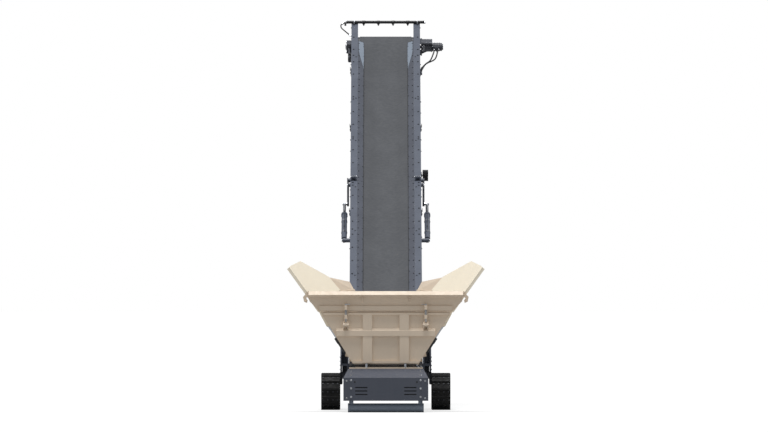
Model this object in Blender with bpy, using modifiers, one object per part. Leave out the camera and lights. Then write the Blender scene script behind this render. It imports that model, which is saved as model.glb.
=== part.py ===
"""A tracked stockpiling conveyor: a folding belt conveyor with a feed hopper, on a crawler undercarriage.

Metres, +Z up. +Y runs from the feed end to the discharge end, +X is the right side seen from the feed end.
Shapes are drawn in ground coordinates whose y starts at the tail drum, or on the belt line, a frame that
starts at the tail drum's centre and leans back by the belt angle. Every piece hangs under an empty on its
joint's axis. The origin of the world is the middle of the machine, on the ground.
"""

from math import atan2, cos, hypot, pi, radians, sin, tan

import bmesh
import bpy
from mathutils import Matrix, Vector

GAP = 0.0003  # between faces that touch
PLAY = 0.0004  # radial play of a pin or shaft in its hole

# The conveyor, on the belt line: u along the belt from the tail drum, w square to it
BELT_ANGLE = radians(20.5)
DRUM_SPACING = 19.3
TAIL_DRUM_HEIGHT = 0.52
DRUM_RADIUS = 0.20
DRUM_FACE = 1.14
SHAFT_RADIUS = 0.035
BELT_WIDTH = 1.05
BELT_FLAT = 0.38
BELT_THICKNESS = 0.012
TROUGH_ANGLE = radians(20)
TROUGH_FLOOR = 0.10
TROUGH_RUN = 1.5
FRAME_HALF = 0.70
PLATE = 0.012
SIDE_INSET = 0.003
FLANGE_TOP = 0.28
FLANGE_WIDTH = 0.135
CHANNEL_DEPTH = 0.34
CHORD = 0.10
CHORD_WALL = 0.008
TRUSS_BOTTOM = -0.55
TAIL_PLATE_BOTTOM = -0.25
TAIL_REACH = 0.33
HEAD_REACH = 0.68
TRUSS_START = 3.0
BAY = 0.94
FOLD_U = 10.6
FOLD_RISE = 0.06
BUTT_GAP = 0.0012
SKIRT_EDGE = 0.44

# The fold linkage: its points are measured from the fold axis, along the belt line and square to it
FOLD_RANGE = radians(165)
ROCKER_PIVOT = (-0.126, -0.121)
LINK_PIVOT = (0.08, -0.10)
LINKAGE_PIN = (-0.31, -0.451)
FOLD_FOOT = (-3.063, -0.202)
ROCKER_LAYER = (0.725, 0.745)
LINK_LAYER = (0.7455, 0.7655)
FOLD_CYLINDER_X = 0.815
EYE_WIDTH = 0.05
FOLD_EYE_X = (FOLD_CYLINDER_X - EYE_WIDTH / 2, FOLD_CYLINDER_X + EYE_WIDTH / 2)
LINKAGE_PIN_RADIUS = 0.02
LINKAGE_EYE = 0.05
FOLD_BARREL_RADIUS = 0.055
FOLD_BARREL_LENGTH = 1.95
FOLD_ROD_RADIUS = 0.03

# The luff: the conveyor turns on the undercarriage's towers and stands on two cylinders
LUFF_PIVOT_U = 5.15
LUFF_PIN_RADIUS = 0.05
LUFF_RANGE = radians(9)
LUFF_FOOT = (8.0, 0.98)
LUFF_HEAD_U = 10.0
LUFF_HEAD_W = -0.64
LUFF_CYLINDER_X = 0.45
LUFF_BARREL_RADIUS = 0.075
LUFF_ROD_RADIUS = 0.045

# The hopper, in ground coordinates
HOPPER_FRONT = 0.12
HOPPER_PLATE = 0.012
HOPPER_SEAT_X = 0.60
HOPPER_RIM_X = 1.24
HOPPER_RIM_Z = 1.90
HOPPER_LENGTH = 3.83
WALL_HINGE_END = 2.78
HINGE_OFFSET = 0.03
WING_LEAN = 0.775
WING_RISE = 0.815
WING_SETBACK = 0.075
WING_RANGE = radians(60)
FLAP_TOP = 2.30
FLAP_PIVOT_Z = 1.66
FLAP_STRAP_X = 0.76
LOCK_PIN_RADIUS = 0.013
WING_CYLINDER_Y = 0.33
WING_EYE = (0.075, -0.30)
WING_FOOT = (0.075, -0.975)
WING_BARREL_RADIUS = 0.042
WING_ROD_RADIUS = 0.022
WING_BARREL_LENGTH = 0.39

# The undercarriage
TRACK_CENTRE_Y = 5.80
TRACK_CENTRE_X = 1.07
TRACK_WIDTH = 0.36
TRACK_LENGTH = 3.40
TRACK_HEIGHT = 0.70
TRACK_SHOE = 0.045
GROUSER = 0.025
SHOES = 46
SPROCKET_TEETH = 15
WHEEL_AXLE_RADIUS = 0.03
CHASSIS_BOTTOM = 0.73
CHASSIS_TOP = 0.90
TOWER_X = (0.72, 0.88)
TOWER_PLATE = 0.03
CANOPY_Y = (5.95, 7.70)
CANOPY_TOP = 1.77
CANOPY_HALF = 0.64
DOOR = 0.014
SKID_RADIUS = 0.0855
SKID_HALF = 0.72
SKID_Y = -0.30
GUARD_HALF = 0.806
GUARD_FRONT = -0.47
GUARD_BACK = 0.05

FINISHES = {
    "frame_paint": ((0.152, 0.168, 0.223), 0.45, 0.0),
    "hopper_paint": ((0.807, 0.680, 0.515), 0.5, 0.0),
    "belt_rubber": ((0.112, 0.120, 0.133), 0.8, 0.0),
    "track_rubber": ((0.008, 0.008, 0.008), 0.8, 0.0),
    "dark_steel": ((0.03, 0.032, 0.038), 0.5, 0.3),
    "bright_steel": ((0.62, 0.63, 0.64), 0.25, 1.0),
    "hose_rubber": ((0.012, 0.012, 0.013), 0.6, 0.0),
    "signal_red": ((0.6, 0.02, 0.02), 0.4, 0.0),
}


# ---- helpers -------------------------------------------------------------------------------------------


def clear_scene():
    for obj in list(bpy.data.objects):
        bpy.data.objects.remove(obj, do_unlink=True)


def collection(name):
    made = bpy.data.collections.new(name)
    bpy.context.scene.collection.children.link(made)
    return made


def principled(name, colour, roughness, metallic):
    material = bpy.data.materials.new(name)
    material.use_nodes = True
    shader = material.node_tree.nodes["Principled BSDF"]
    shader.inputs["Base Color"].default_value = (*colour, 1.0)
    shader.inputs["Roughness"].default_value = roughness
    shader.inputs["Metallic"].default_value = metallic
    return material


def block(x, y, z):
    """A box between the low and high value of each axis."""
    shape = bmesh.new()
    bmesh.ops.create_cube(shape, size=1.0)
    size = Vector((x[1] - x[0], y[1] - y[0], z[1] - z[0]))
    middle = Vector((x[0] + x[1], y[0] + y[1], z[0] + z[1])) / 2
    shape.transform(Matrix.Translation(middle) @ Matrix.Diagonal((*size, 1.0)))
    return shape


def bar(start, end, radius, sides=12, end_radius=None):
    """A round bar between two points, or a cone where its end radius differs. A flat faces down."""
    start, end = Vector(start), Vector(end)
    along = end - start
    shape = bmesh.new()
    bmesh.ops.create_cone(
        shape,
        cap_ends=True,
        segments=sides,
        radius1=radius,
        radius2=radius if end_radius is None else end_radius,
        depth=along.length,
    )
    shape.transform(Matrix.Rotation(pi / sides, 4, "Z"))
    turn = along.to_track_quat("Z", "Y").to_matrix().to_4x4()
    shape.transform(Matrix.Translation((start + end) / 2) @ turn)
    return shape


def bore(start, end, radius, sides=12):
    """A cutter for a round hole that a pin of this radius can turn in."""
    return bar(start, end, (radius + PLAY) / cos(pi / sides), sides)


ACROSS = {
    "x": Matrix(((0, 0, 1, 0), (1, 0, 0, 0), (0, 1, 0, 0), (0, 0, 0, 1))),
    "y": Matrix(((1, 0, 0, 0), (0, 0, -1, 0), (0, 1, 0, 0), (0, 0, 0, 1))),
    "z": Matrix.Identity(4),
}


def prism(outline, axis, low, high, holes=()):
    """A flat outline with its holes, made solid from low to high along an axis."""
    curve = bpy.data.curves.new("outline", "CURVE")
    curve.dimensions = "2D"
    curve.fill_mode = "BOTH"
    curve.extrude = (high - low) / 2
    for loop in (outline, *holes):
        spline = curve.splines.new("POLY")
        spline.points.add(len(loop) - 1)
        for point, (a, b) in zip(spline.points, loop):
            point.co = (a, b, 0.0, 1.0)
        spline.use_cyclic_u = True
    guide = bpy.data.objects.new("outline", curve)
    bpy.context.scene.collection.objects.link(guide)
    graph = bpy.context.evaluated_depsgraph_get()
    mesh = bpy.data.meshes.new_from_object(guide.evaluated_get(graph))
    shape = bmesh.new()
    shape.from_mesh(mesh)
    bmesh.ops.remove_doubles(shape, verts=shape.verts, dist=1e-5)
    bmesh.ops.recalc_face_normals(shape, faces=shape.faces)
    bpy.data.objects.remove(guide)
    bpy.data.curves.remove(curve)
    bpy.data.meshes.remove(mesh)
    middle = (low + high) / 2
    offset = -middle if axis == "y" else middle
    shape.transform(ACROSS[axis] @ Matrix.Translation((0, 0, offset)))
    return shape


def ring(centre, radius, sides=20):
    """The points of a circle, as an outline or a hole."""
    return [
        (centre[0] + radius * cos(2 * pi * i / sides), centre[1] + radius * sin(2 * pi * i / sides))
        for i in range(sides)
    ]


def stadium(start, end, radius, steps=8):
    """The outline around two points at one radius: two half circles and their tangents."""
    lead = atan2(end[1] - start[1], end[0] - start[0])
    points = []
    for centre, first in ((end, lead - pi / 2), (start, lead + pi / 2)):
        for i in range(steps + 1):
            angle = first + pi * i / steps
            points.append((centre[0] + radius * cos(angle), centre[1] + radius * sin(angle)))
    return points


def sheet(points, faces, thickness):
    """An open surface made solid by its thickness, on the side that its faces look away from."""
    mesh = bpy.data.meshes.new("sheet")
    mesh.from_pydata(points, [], faces)
    guide = bpy.data.objects.new("sheet", mesh)
    bpy.context.scene.collection.objects.link(guide)
    solid = guide.modifiers.new("thickness", "SOLIDIFY")
    solid.thickness = thickness
    solid.offset = -1.0
    solid.use_even_offset = True
    graph = bpy.context.evaluated_depsgraph_get()
    shape = bmesh.new()
    shape.from_object(guide, graph)
    bpy.data.objects.remove(guide)
    bpy.data.meshes.remove(mesh)
    bmesh.ops.recalc_face_normals(shape, faces=shape.faces)
    return shape


def put(shape, frame):
    """The shape moved from a frame's own coordinates to ground coordinates."""
    shape.transform(frame)
    return shape


def mirrored(shape):
    copy = shape.copy()
    copy.transform(Matrix.Diagonal((-1, 1, 1, 1)))
    bmesh.ops.reverse_faces(copy, faces=copy.faces)
    return copy


def both(shapes):
    """The shapes and their mirror images across the machine's middle plane."""
    return [*shapes, *[mirrored(shape) for shape in shapes]]


def temporary(shape):
    mesh = bpy.data.meshes.new("operand")
    shape.to_mesh(mesh)
    return bpy.data.objects.new("operand", mesh)


def combine(target, operation, shapes):
    """Joins the shapes to the target object, or cuts them from it, with one exact Boolean."""
    group = collection("operands")
    for shape in shapes:
        group.objects.link(temporary(shape))
    modifier = target.modifiers.new(operation.lower(), "BOOLEAN")
    modifier.operation = operation
    modifier.operand_type = "COLLECTION"
    modifier.collection = group
    modifier.solver = "EXACT"
    graph = bpy.context.evaluated_depsgraph_get()
    result = bpy.data.meshes.new_from_object(target.evaluated_get(graph))
    target.modifiers.remove(modifier)
    before = target.data
    target.data = result
    bpy.data.meshes.remove(before)
    for operand in list(group.objects):
        bpy.data.objects.remove(operand)
    bpy.data.collections.remove(group)


def piece(name, carrier, finish, solids, cutters=(), left=False):
    """One named piece from solids in ground coordinates, hung under the empty that carries it."""
    obj = temporary(solids[0])
    obj.name = name
    PARTS.objects.link(obj)
    if len(solids) > 1:
        combine(obj, "UNION", solids[1:])
    if cutters:
        combine(obj, "DIFFERENCE", cutters)
    tidy = bmesh.new()
    tidy.from_mesh(obj.data)
    bmesh.ops.dissolve_limit(tidy, angle_limit=radians(0.05), verts=tidy.verts, edges=tidy.edges)
    bmesh.ops.triangulate(tidy, faces=tidy.faces)
    if left:
        tidy = mirrored(tidy)
    tidy.to_mesh(obj.data)
    tidy.free()
    obj.data.name = name
    obj.data.transform(carrier.matrix_world.inverted() @ SITE)
    obj.parent = carrier
    obj.data.materials.clear()
    obj.data.materials.append(MATERIALS[finish])
    obj.data.shade_smooth()
    obj.data.set_sharp_from_angle(angle=radians(30))
    return obj


def pivot(name, point, turn=None, parent=None, left=False):
    """An empty on a joint's axis, at a point in ground coordinates."""
    place = Matrix.Translation(point) @ (turn or Matrix.Identity(4))
    if left:
        flip = Matrix.Diagonal((-1, 1, 1, 1))
        place = flip @ place @ flip
    empty = bpy.data.objects.new(name, None)
    empty.empty_display_size = 0.3
    PARTS.objects.link(empty)
    world = SITE @ place
    if parent:
        empty.parent = parent
        empty.matrix_local = parent.matrix_world.inverted() @ world
    else:
        empty.matrix_local = world
    bpy.context.view_layer.update()
    return empty


# ---- frames and joint points ---------------------------------------------------------------------------

TILT = Matrix.Rotation(BELT_ANGLE, 4, "X")
BELT_LINE = Matrix.Translation((0, 0, TAIL_DRUM_HEIGHT)) @ TILT


def on_belt_line(x, u, w):
    """Ground coordinates of a point on the belt line."""
    return BELT_LINE @ Vector((x, u, w))


def line_height(y, w):
    """The height above ground, at y, of the line at w along the belt line."""
    return TAIL_DRUM_HEIGHT + y * tan(BELT_ANGLE) + w / cos(BELT_ANGLE)


HEAD_END_U = DRUM_SPACING + HEAD_REACH
TAIL_END_Y = GUARD_FRONT
HEAD_END_Y = on_belt_line(0, HEAD_END_U, -0.06).y
SITE = Matrix.Translation((0, -(TAIL_END_Y + HEAD_END_Y) / 2, 0))

FOLD_AXIS = (FOLD_U, FLANGE_TOP + FOLD_RISE)
LUFF_PIVOT = on_belt_line(0, LUFF_PIVOT_U, TRUSS_BOTTOM + CHORD / 2)
CHANNEL_BOTTOM = FLANGE_TOP - CHANNEL_DEPTH

HINGE_START = Vector((HOPPER_RIM_X, HOPPER_FRONT, HOPPER_RIM_Z))
SEAT_W = FLANGE_TOP + 0.011
WALL_LEAN = (HOPPER_RIM_X - HOPPER_SEAT_X) / (HOPPER_RIM_Z - line_height(HOPPER_FRONT, SEAT_W))


def wall_point(y, z):
    """The point at y and z on the hopper's right side wall, whose foot runs along the conveyor's flange."""
    return Vector((HOPPER_SEAT_X + WALL_LEAN * (z - line_height(y, SEAT_W)), y, z))


SIDE_SHELF = line_height(HOPPER_FRONT + HOPPER_LENGTH, SEAT_W)
HINGE_END = wall_point(WALL_HINGE_END, SIDE_SHELF)


def frame_of(origin, along, up):
    """A frame whose Y runs along, whose Z lies towards up, and whose X is square to both."""
    y = along.normalized()
    z = (up - up.dot(y) * y).normalized()
    x = y.cross(z)
    return Matrix.Translation(origin) @ Matrix((x, y, z)).transposed().to_4x4()


HINGE_RUN = HINGE_END - HINGE_START
WALL = frame_of(HINGE_START, HINGE_RUN, Vector((WALL_LEAN, 0, 1)))
WING_ORIGIN = WALL @ Vector((HINGE_OFFSET, 0, 0))
WING = frame_of(WING_ORIGIN, HINGE_RUN, Vector((WING_LEAN, 0, 1)))


# ---- conveyor frame ------------------------------------------------------------------------------------


def on_line(shapes):
    return [put(shape, BELT_LINE) for shape in shapes]


def channel(start, end):
    """The side channel that carries the flange, as one C-shaped prism along the belt line."""
    inner = FRAME_HALF - PLATE
    outline = [
        (FRAME_HALF - FLANGE_WIDTH, FLANGE_TOP),
        (FRAME_HALF - FLANGE_WIDTH, FLANGE_TOP - PLATE),
        (inner, FLANGE_TOP - PLATE),
        (inner, CHANNEL_BOTTOM + PLATE),
        (FRAME_HALF - CHORD, CHANNEL_BOTTOM + PLATE),
        (FRAME_HALF - CHORD, CHANNEL_BOTTOM),
        (FRAME_HALF, CHANNEL_BOTTOM),
        (FRAME_HALF, FLANGE_TOP),
    ]
    return prism(outline, "y", start, end)


def box_tube(axis, a, b, low, high, wall):
    """A rectangular tube along an axis, between low and high of its other two axes, open at both ends."""
    loops = []
    for inset in (0.0, wall):
        near, far = a[0] + inset, a[1] - inset
        bottom, top = b[0] + inset, b[1] - inset
        loops.append([(near, bottom), (far, bottom), (far, top), (near, top)])
    return prism(loops[0], axis, low, high, [loops[1]])


def chord(start, end):
    across, up = (FRAME_HALF - CHORD, FRAME_HALF), (TRUSS_BOTTOM, TRUSS_BOTTOM + CHORD)
    return box_tube("y", across, up, start, end, CHORD_WALL)


def lattice(start, bays):
    """Uprights and diagonals between the channel and the bottom chord, one bay after another."""
    shapes = []
    top, bottom = CHANNEL_BOTTOM + 0.006, TRUSS_BOTTOM + CHORD - 0.006
    post, brace = 0.03, 0.036
    for i in range(bays + 1):
        u = start + BAY * i
        shapes.append(block((FRAME_HALF - 0.07, FRAME_HALF - 0.01), (u - post, u + post), (bottom, top)))
        if i < bays:
            run = [(u, bottom), (u + brace, bottom), (u + BAY, top), (u + BAY - brace, top)]
            shapes.append(prism(run, "x", FRAME_HALF - 0.06, FRAME_HALF - 0.02))
    return shapes


def cross_tie(u, low, height=0.06, width=0.08):
    half = FRAME_HALF - 0.009
    return block((-half, half), (u - width / 2, u + width / 2), (low + 0.003, low + height))


def butt_plate(start, end):
    """The plate at the fold, from the flange to the chord, that meets its twin on the other section."""
    width = (FRAME_HALF - CHORD + 0.002, FRAME_HALF - 0.002)
    return block(width, (start, end), (TRUSS_BOTTOM + 0.002, CHANNEL_BOTTOM + 0.02))


def fold_ear(x, side):
    """One ear of the fold hinge, standing on the flange on its own side of the fold."""
    u, w = FOLD_AXIS
    near, far = sorted((u + side * (BUTT_GAP / 2 + 0.002), u + side * 0.05))
    return [
        block(x, (near, far), (FLANGE_TOP - 0.006, w)),
        bar((x[0], u, w), (x[1], u, w), 0.035),
    ]


FOLD_EARS_MAIN = ((0.575, 0.60), (0.665, 0.69))
FOLD_EAR_HEAD = (0.60 + GAP, 0.665 - GAP)
FOLD_PIN_RADIUS = 0.018


def linkage_boss(point, out, pin_out):
    """A boss on the side channel, with the pin that a rocker, link or cylinder turns on."""
    u, w = FOLD_AXIS[0] + point[0], FOLD_AXIS[1] + point[1]
    return [
        bar((FRAME_HALF - PLATE, u, w), (out, u, w), 0.04),
        bar((FRAME_HALF - PLATE, u, w), (pin_out, u, w), LINKAGE_PIN_RADIUS, 12),
    ]


def bearing(u):
    """The block inside the side plate that holds the tail drum's shaft."""
    return block((DRUM_FACE / 2 + 0.03, FRAME_HALF - 0.008), (u - 0.08, u + 0.08), (-0.075, 0.075))


def shaft_hole(u):
    return bore((FRAME_HALF - 0.14, u, 0), (FRAME_HALF + 0.1, u, 0), SHAFT_RADIUS)


MAIN_END = FOLD_U - BUTT_GAP / 2
HEAD_START = FOLD_U + BUTT_GAP / 2
MAIN_BAYS = 8
HEAD_BAYS = 6
HEAD_TRUSS_END = HEAD_START + 0.05 + BAY * HEAD_BAYS


PIVOT_UW = (LUFF_PIVOT_U, TRUSS_BOTTOM + CHORD / 2)
LUFF_EAR_GAP = EYE_WIDTH / 2 + GAP


def main_boom_frame():
    tail_plate = prism(
        [
            (-TAIL_REACH, TAIL_PLATE_BOTTOM),
            (1.9, TAIL_PLATE_BOTTOM),
            (TRUSS_START + 0.05, TRUSS_BOTTOM + 0.003),
            (TRUSS_START + 0.05, -0.02),
            (0.6, -0.02),
            (0.6, FLANGE_TOP - 0.004),
            (0.31, FLANGE_TOP - 0.004),
            (0.12, 0.18),
            (-TAIL_REACH, 0.18),
        ],
        "x",
        FRAME_HALF - PLATE - SIDE_INSET,
        FRAME_HALF - SIDE_INSET,
    )
    lattice_start = TRUSS_START + 0.04
    one_side = [
        channel(0.30, MAIN_END),
        tail_plate,
        chord(TRUSS_START, MAIN_END),
        butt_plate(MAIN_END - 0.03, MAIN_END - 0.001),
        *lattice(lattice_start, MAIN_BAYS),
        bearing(0.0),
        *fold_ear(FOLD_EARS_MAIN[0], -1),
        *fold_ear(FOLD_EARS_MAIN[1], -1),
        bar(
            (FOLD_EARS_MAIN[0][0], *FOLD_AXIS),
            (FOLD_EARS_MAIN[1][1], *FOLD_AXIS),
            FOLD_PIN_RADIUS,
            12,
        ),
        *linkage_boss(ROCKER_PIVOT, ROCKER_LAYER[0] - GAP, ROCKER_LAYER[1]),
        *linkage_boss(FOLD_FOOT, FOLD_EYE_X[0] - GAP, FOLD_EYE_X[1] + 0.01),
        bar((FRAME_HALF - 0.05, *PIVOT_UW), (TOWER_X[1] + 0.02, *PIVOT_UW), LUFF_PIN_RADIUS, 24),
        *luff_ears(),
    ]
    ties = [cross_tie(u, CHANNEL_BOTTOM) for u in (0.55, 2.0, 4.0, 6.0, 8.0, 10.45)]
    ties += [cross_tie(u, TRUSS_BOTTOM) for u in (TRUSS_START + 0.05, LUFF_PIVOT_U, 7.0, LUFF_HEAD_U)]
    tail_tie = cross_tie(-TAIL_REACH + 0.03, -0.03, width=0.05)
    solids = [put(shape, BELT_LINE) for shape in both(one_side) + ties + [tail_tie]]
    cutters = [put(shape, BELT_LINE) for shape in both([shaft_hole(0.0)])]
    piece("main_boom_frame", LUFF, "frame_paint", solids, cutters)


def luff_ears():
    """Two ears under the truss, either side of the luff cylinder's rod eye, with their pin ends."""
    shapes = []
    for x in ((-0.025, 0.0), (0.0, 0.025)):
        low = LUFF_CYLINDER_X + (x[0] - LUFF_EAR_GAP if x[0] < 0 else LUFF_EAR_GAP)
        outline = [
            (LUFF_HEAD_U - 0.12, TRUSS_BOTTOM + 0.01),
            (LUFF_HEAD_U - 0.06, LUFF_HEAD_W - 0.06),
            (LUFF_HEAD_U + 0.06, LUFF_HEAD_W - 0.06),
            (LUFF_HEAD_U + 0.12, TRUSS_BOTTOM + 0.01),
        ]
        shapes.append(prism(outline, "x", low, low + 0.025))
        outer = low - 0.01 if x[0] < 0 else low + 0.035
        inner = low + 0.0125
        ends = sorted((outer, inner))
        shapes.append(
            bar((ends[0], LUFF_HEAD_U, LUFF_HEAD_W), (ends[1], LUFF_HEAD_U, LUFF_HEAD_W), 0.037, 12)
        )
    return shapes


HOSE_PORTS = (0.99, 1.08)
HOSE_RUNS = (("outer", HOSE_PORTS[1], 1.05, 0.03), ("inner", HOSE_PORTS[0], 0.80, -0.02))
HOSE_STOP_X = 0.722


def hose_stop(end):
    """Where along the belt line a drive hose meets its fitting on the frame."""
    return DRUM_SPACING - 0.65 - end


def hose_fitting(end, lift):
    """The elbow on the side channel that a drive hose ends in."""
    far = hose_stop(end) - GAP
    x = (FRAME_HALF - 0.01, HOSE_STOP_X + 0.017)
    return block(x, (far - 0.05, far), (lift - 0.017, lift + 0.017))


def head_boom_frame():
    post_plate = prism(
        [
            (17.6, -0.02),
            (18.5, -0.26),
            (19.9, -0.26),
            (HEAD_END_U - 0.002, -0.055),
            (HEAD_END_U - 0.002, FLANGE_TOP - 0.004),
            (17.6, FLANGE_TOP - 0.004),
        ],
        "x",
        FRAME_HALF - PLATE - SIDE_INSET,
        FRAME_HALF - SIDE_INSET,
    )
    nose = prism(
        [
            (HEAD_TRUSS_END - 0.1, TRUSS_BOTTOM + 0.004),
            (18.6, -0.24),
            (18.6, -0.14),
            (HEAD_TRUSS_END - 0.1, TRUSS_BOTTOM + CHORD),
        ],
        "x",
        FRAME_HALF - 0.06,
        FRAME_HALF - 0.004,
    )
    one_side = [
        channel(HEAD_START, HEAD_END_U),
        post_plate,
        nose,
        chord(HEAD_START, HEAD_TRUSS_END),
        butt_plate(HEAD_START + 0.001, HEAD_START + 0.03),
        *lattice(HEAD_START + 0.05, HEAD_BAYS),
        *fold_ear(FOLD_EAR_HEAD, 1),
        *linkage_boss(LINK_PIVOT, LINK_LAYER[0] - GAP, LINK_LAYER[1]),
    ]
    ties = [cross_tie(u, CHANNEL_BOTTOM) for u in (10.75, 12.8, 14.8, 16.8, 18.4)]
    ties += [cross_tie(u, TRUSS_BOTTOM) for u in (10.75, 13.5, HEAD_TRUSS_END - 0.05)]
    fittings = [hose_fitting(end, lift) for _, _, end, lift in HOSE_RUNS]
    solids = [put(shape, BELT_LINE) for shape in both(one_side) + ties + fittings]
    ear_bore = bore((0.59, *FOLD_AXIS), (0.67, *FOLD_AXIS), FOLD_PIN_RADIUS)
    cutters = [put(shape, BELT_LINE) for shape in both([ear_bore, shaft_hole(DRUM_SPACING)])]
    piece("head_boom_frame", FOLD, "frame_paint", solids, cutters)


# ---- belt, drums and skirts ----------------------------------------------------------------------------


def belt_row(u, w, trough):
    """Four points across the belt's inner face: flat at trough 0, fully troughed at 1."""
    half_flat = BELT_FLAT / 2
    side = BELT_WIDTH / 2 - half_flat
    angle = TROUGH_ANGLE * trough
    reach, rise = half_flat + side * cos(angle), side * sin(angle)
    return [(-reach, u, w + rise), (-half_flat, u, w), (half_flat, u, w), (reach, u, w + rise)]


def belt_section(drum_u, cut_u):
    """One section of belt: from the cut along the trough, round its drum and back to the cut."""
    steps = 16
    radius = (DRUM_RADIUS + GAP) / cos(pi / (2 * steps))
    side = 1 if cut_u > drum_u else -1
    rows = [belt_row(cut_u, TROUGH_FLOOR, 1), belt_row(drum_u + side * TROUGH_RUN, TROUGH_FLOOR, 1)]
    for i in range(steps + 1):
        angle = pi / 2 + side * pi * i / steps
        rows.append(belt_row(drum_u + radius * cos(angle), radius * sin(angle), 0))
    rows.append(belt_row(cut_u, -radius, 0))
    points = [point for row in rows for point in row]
    faces = []
    for i in range(len(rows) - 1):
        for j in range(3):
            corner = 4 * i + j
            quad = (corner, corner + 1, corner + 5, corner + 4)
            faces.append(quad if side < 0 else quad[::-1])
    surface = sheet(points, faces, -BELT_THICKNESS)
    return put(surface, BELT_LINE)


def drum(name, carrier, u, left_end, right_end):
    """A shell with open ends, a web at its middle and a hub and shaft through it."""
    half, web, hub = DRUM_FACE / 2, 0.02, SHAFT_RADIUS + 0.015
    shell = bar((-half, u, 0), (half, u, 0), DRUM_RADIUS, 32)
    shaft = bar((-left_end, u, 0), (right_end, u, 0), SHAFT_RADIUS)
    inside = prism(ring((u, 0), DRUM_RADIUS - PLATE, 32), "x", web, half + 0.01, [ring((u, 0), hub, 16)])
    piece(name, carrier, "dark_steel", on_line([shell, shaft]), on_line(both([inside])))


def skirt(start, end):
    """The sloping plate between the flange's edge and the belt, for the right side."""
    top = (FRAME_HALF - FLANGE_WIDTH - GAP, FLANGE_TOP)
    trough_rise = (SKIRT_EDGE - BELT_FLAT / 2) * tan(TROUGH_ANGLE)
    edge = max(TROUGH_FLOOR + trough_rise, DRUM_RADIUS + 0.0015) + BELT_THICKNESS + 0.014
    outline = [top, (SKIRT_EDGE, edge + 0.012), (SKIRT_EDGE, edge), (top[0], top[1] - 0.02)]
    return put(prism(outline, "y", start, end), BELT_LINE)


def belts_drums_skirts():
    piece("belt_tail_section", LUFF, "belt_rubber", [belt_section(0.0, FOLD_U - 0.002)])
    piece("belt_head_section", FOLD, "belt_rubber", [belt_section(DRUM_SPACING, FOLD_U + 0.002)])
    drum("tail_drum", TAIL_DRUM, 0.0, FRAME_HALF, FRAME_HALF)
    drum("head_drum", HEAD_DRUM, DRUM_SPACING, FRAME_HALF + 0.10, FRAME_HALF + 0.02)
    for left, hand in ((False, "right"), (True, "left")):
        piece(f"skirt_tail_{hand}", LUFF, "frame_paint", [skirt(0.45, FOLD_U - 0.003)], left=left)
        piece(f"skirt_head_{hand}", FOLD, "frame_paint", [skirt(FOLD_U + 0.003, 18.9)], left=left)


# ---- fold linkage --------------------------------------------------------------------------------------


def fold_point(offset):
    return (FOLD_AXIS[0] + offset[0], FOLD_AXIS[1] + offset[1])


def flat_arm(start, end, layer, holes=()):
    """A flat arm with round ends, drawn on the belt line, one plate thick across X."""
    outline = stadium(start, end, LINKAGE_EYE)
    bores = [ring(hole, (LINKAGE_PIN_RADIUS + PLAY) / cos(pi / 16), 16) for hole in holes]
    return put(prism(outline, "x", layer[0], layer[1], bores), BELT_LINE)


def tongue(point, lead, x, length, height):
    """A flat tongue from an eye at a point, as wide as the eye, towards the tube it is welded to."""
    flat = block((x - EYE_WIDTH / 2 + 0.001, x + EYE_WIDTH / 2 - 0.001), (0.0, length), (-height, height))
    turn = Matrix.Rotation(atan2(lead[1], lead[0]), 4, "X")
    return put(flat, Matrix.Translation((0, *point)) @ turn)


def cylinder_barrel(foot, head, x, radius, length, rod_radius, pin_radius):
    """A barrel from its foot eye towards its head, bored for its rod, with a gland at the mouth."""
    foot, head = Vector(foot), Vector(head)
    lead = (head - foot).normalized()
    half = EYE_WIDTH / 2
    eye_radius = max(2 * pin_radius, 0.045)
    tube_start = 1.75 * eye_radius

    def at(distance):
        return (x, *(foot + lead * distance))

    solids = [
        bar((x - half, *foot), (x + half, *foot), eye_radius),
        tongue(foot, lead, x, tube_start + 0.01, 0.6 * eye_radius),
        bar(at(tube_start), at(length - 0.01), radius, 16),
        bar(at(length - 0.12), at(length), radius * 1.16, 16),
    ]
    cutters = [
        bore(at(tube_start + 0.03), at(length + 0.05), rod_radius, 12),
        bore((x - half - 0.01, *foot), (x + half + 0.01, *foot), pin_radius),
    ]
    return solids, cutters


def cylinder_rod(foot, head, x, radius, start, eye_radius, stub=0.0):
    """A rod from its eye at the head back into the barrel, to start metres from the barrel's foot."""
    foot, head = Vector(foot), Vector(head)
    lead = (head - foot).normalized()
    half = EYE_WIDTH / 2
    neck = 2.2 * eye_radius
    solids = [
        bar((x, *(foot + lead * start)), (x, *(head - lead * neck)), radius, 12),
        tongue(head, -lead, x, neck + 0.01, 0.55 * eye_radius),
        bar((x - half, *head), (x + half, *head), eye_radius),
    ]
    if stub:
        solids.append(bar((x - half - stub, *head), (x - half + 0.01, *head), 0.03, 12))
    return solids


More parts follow.
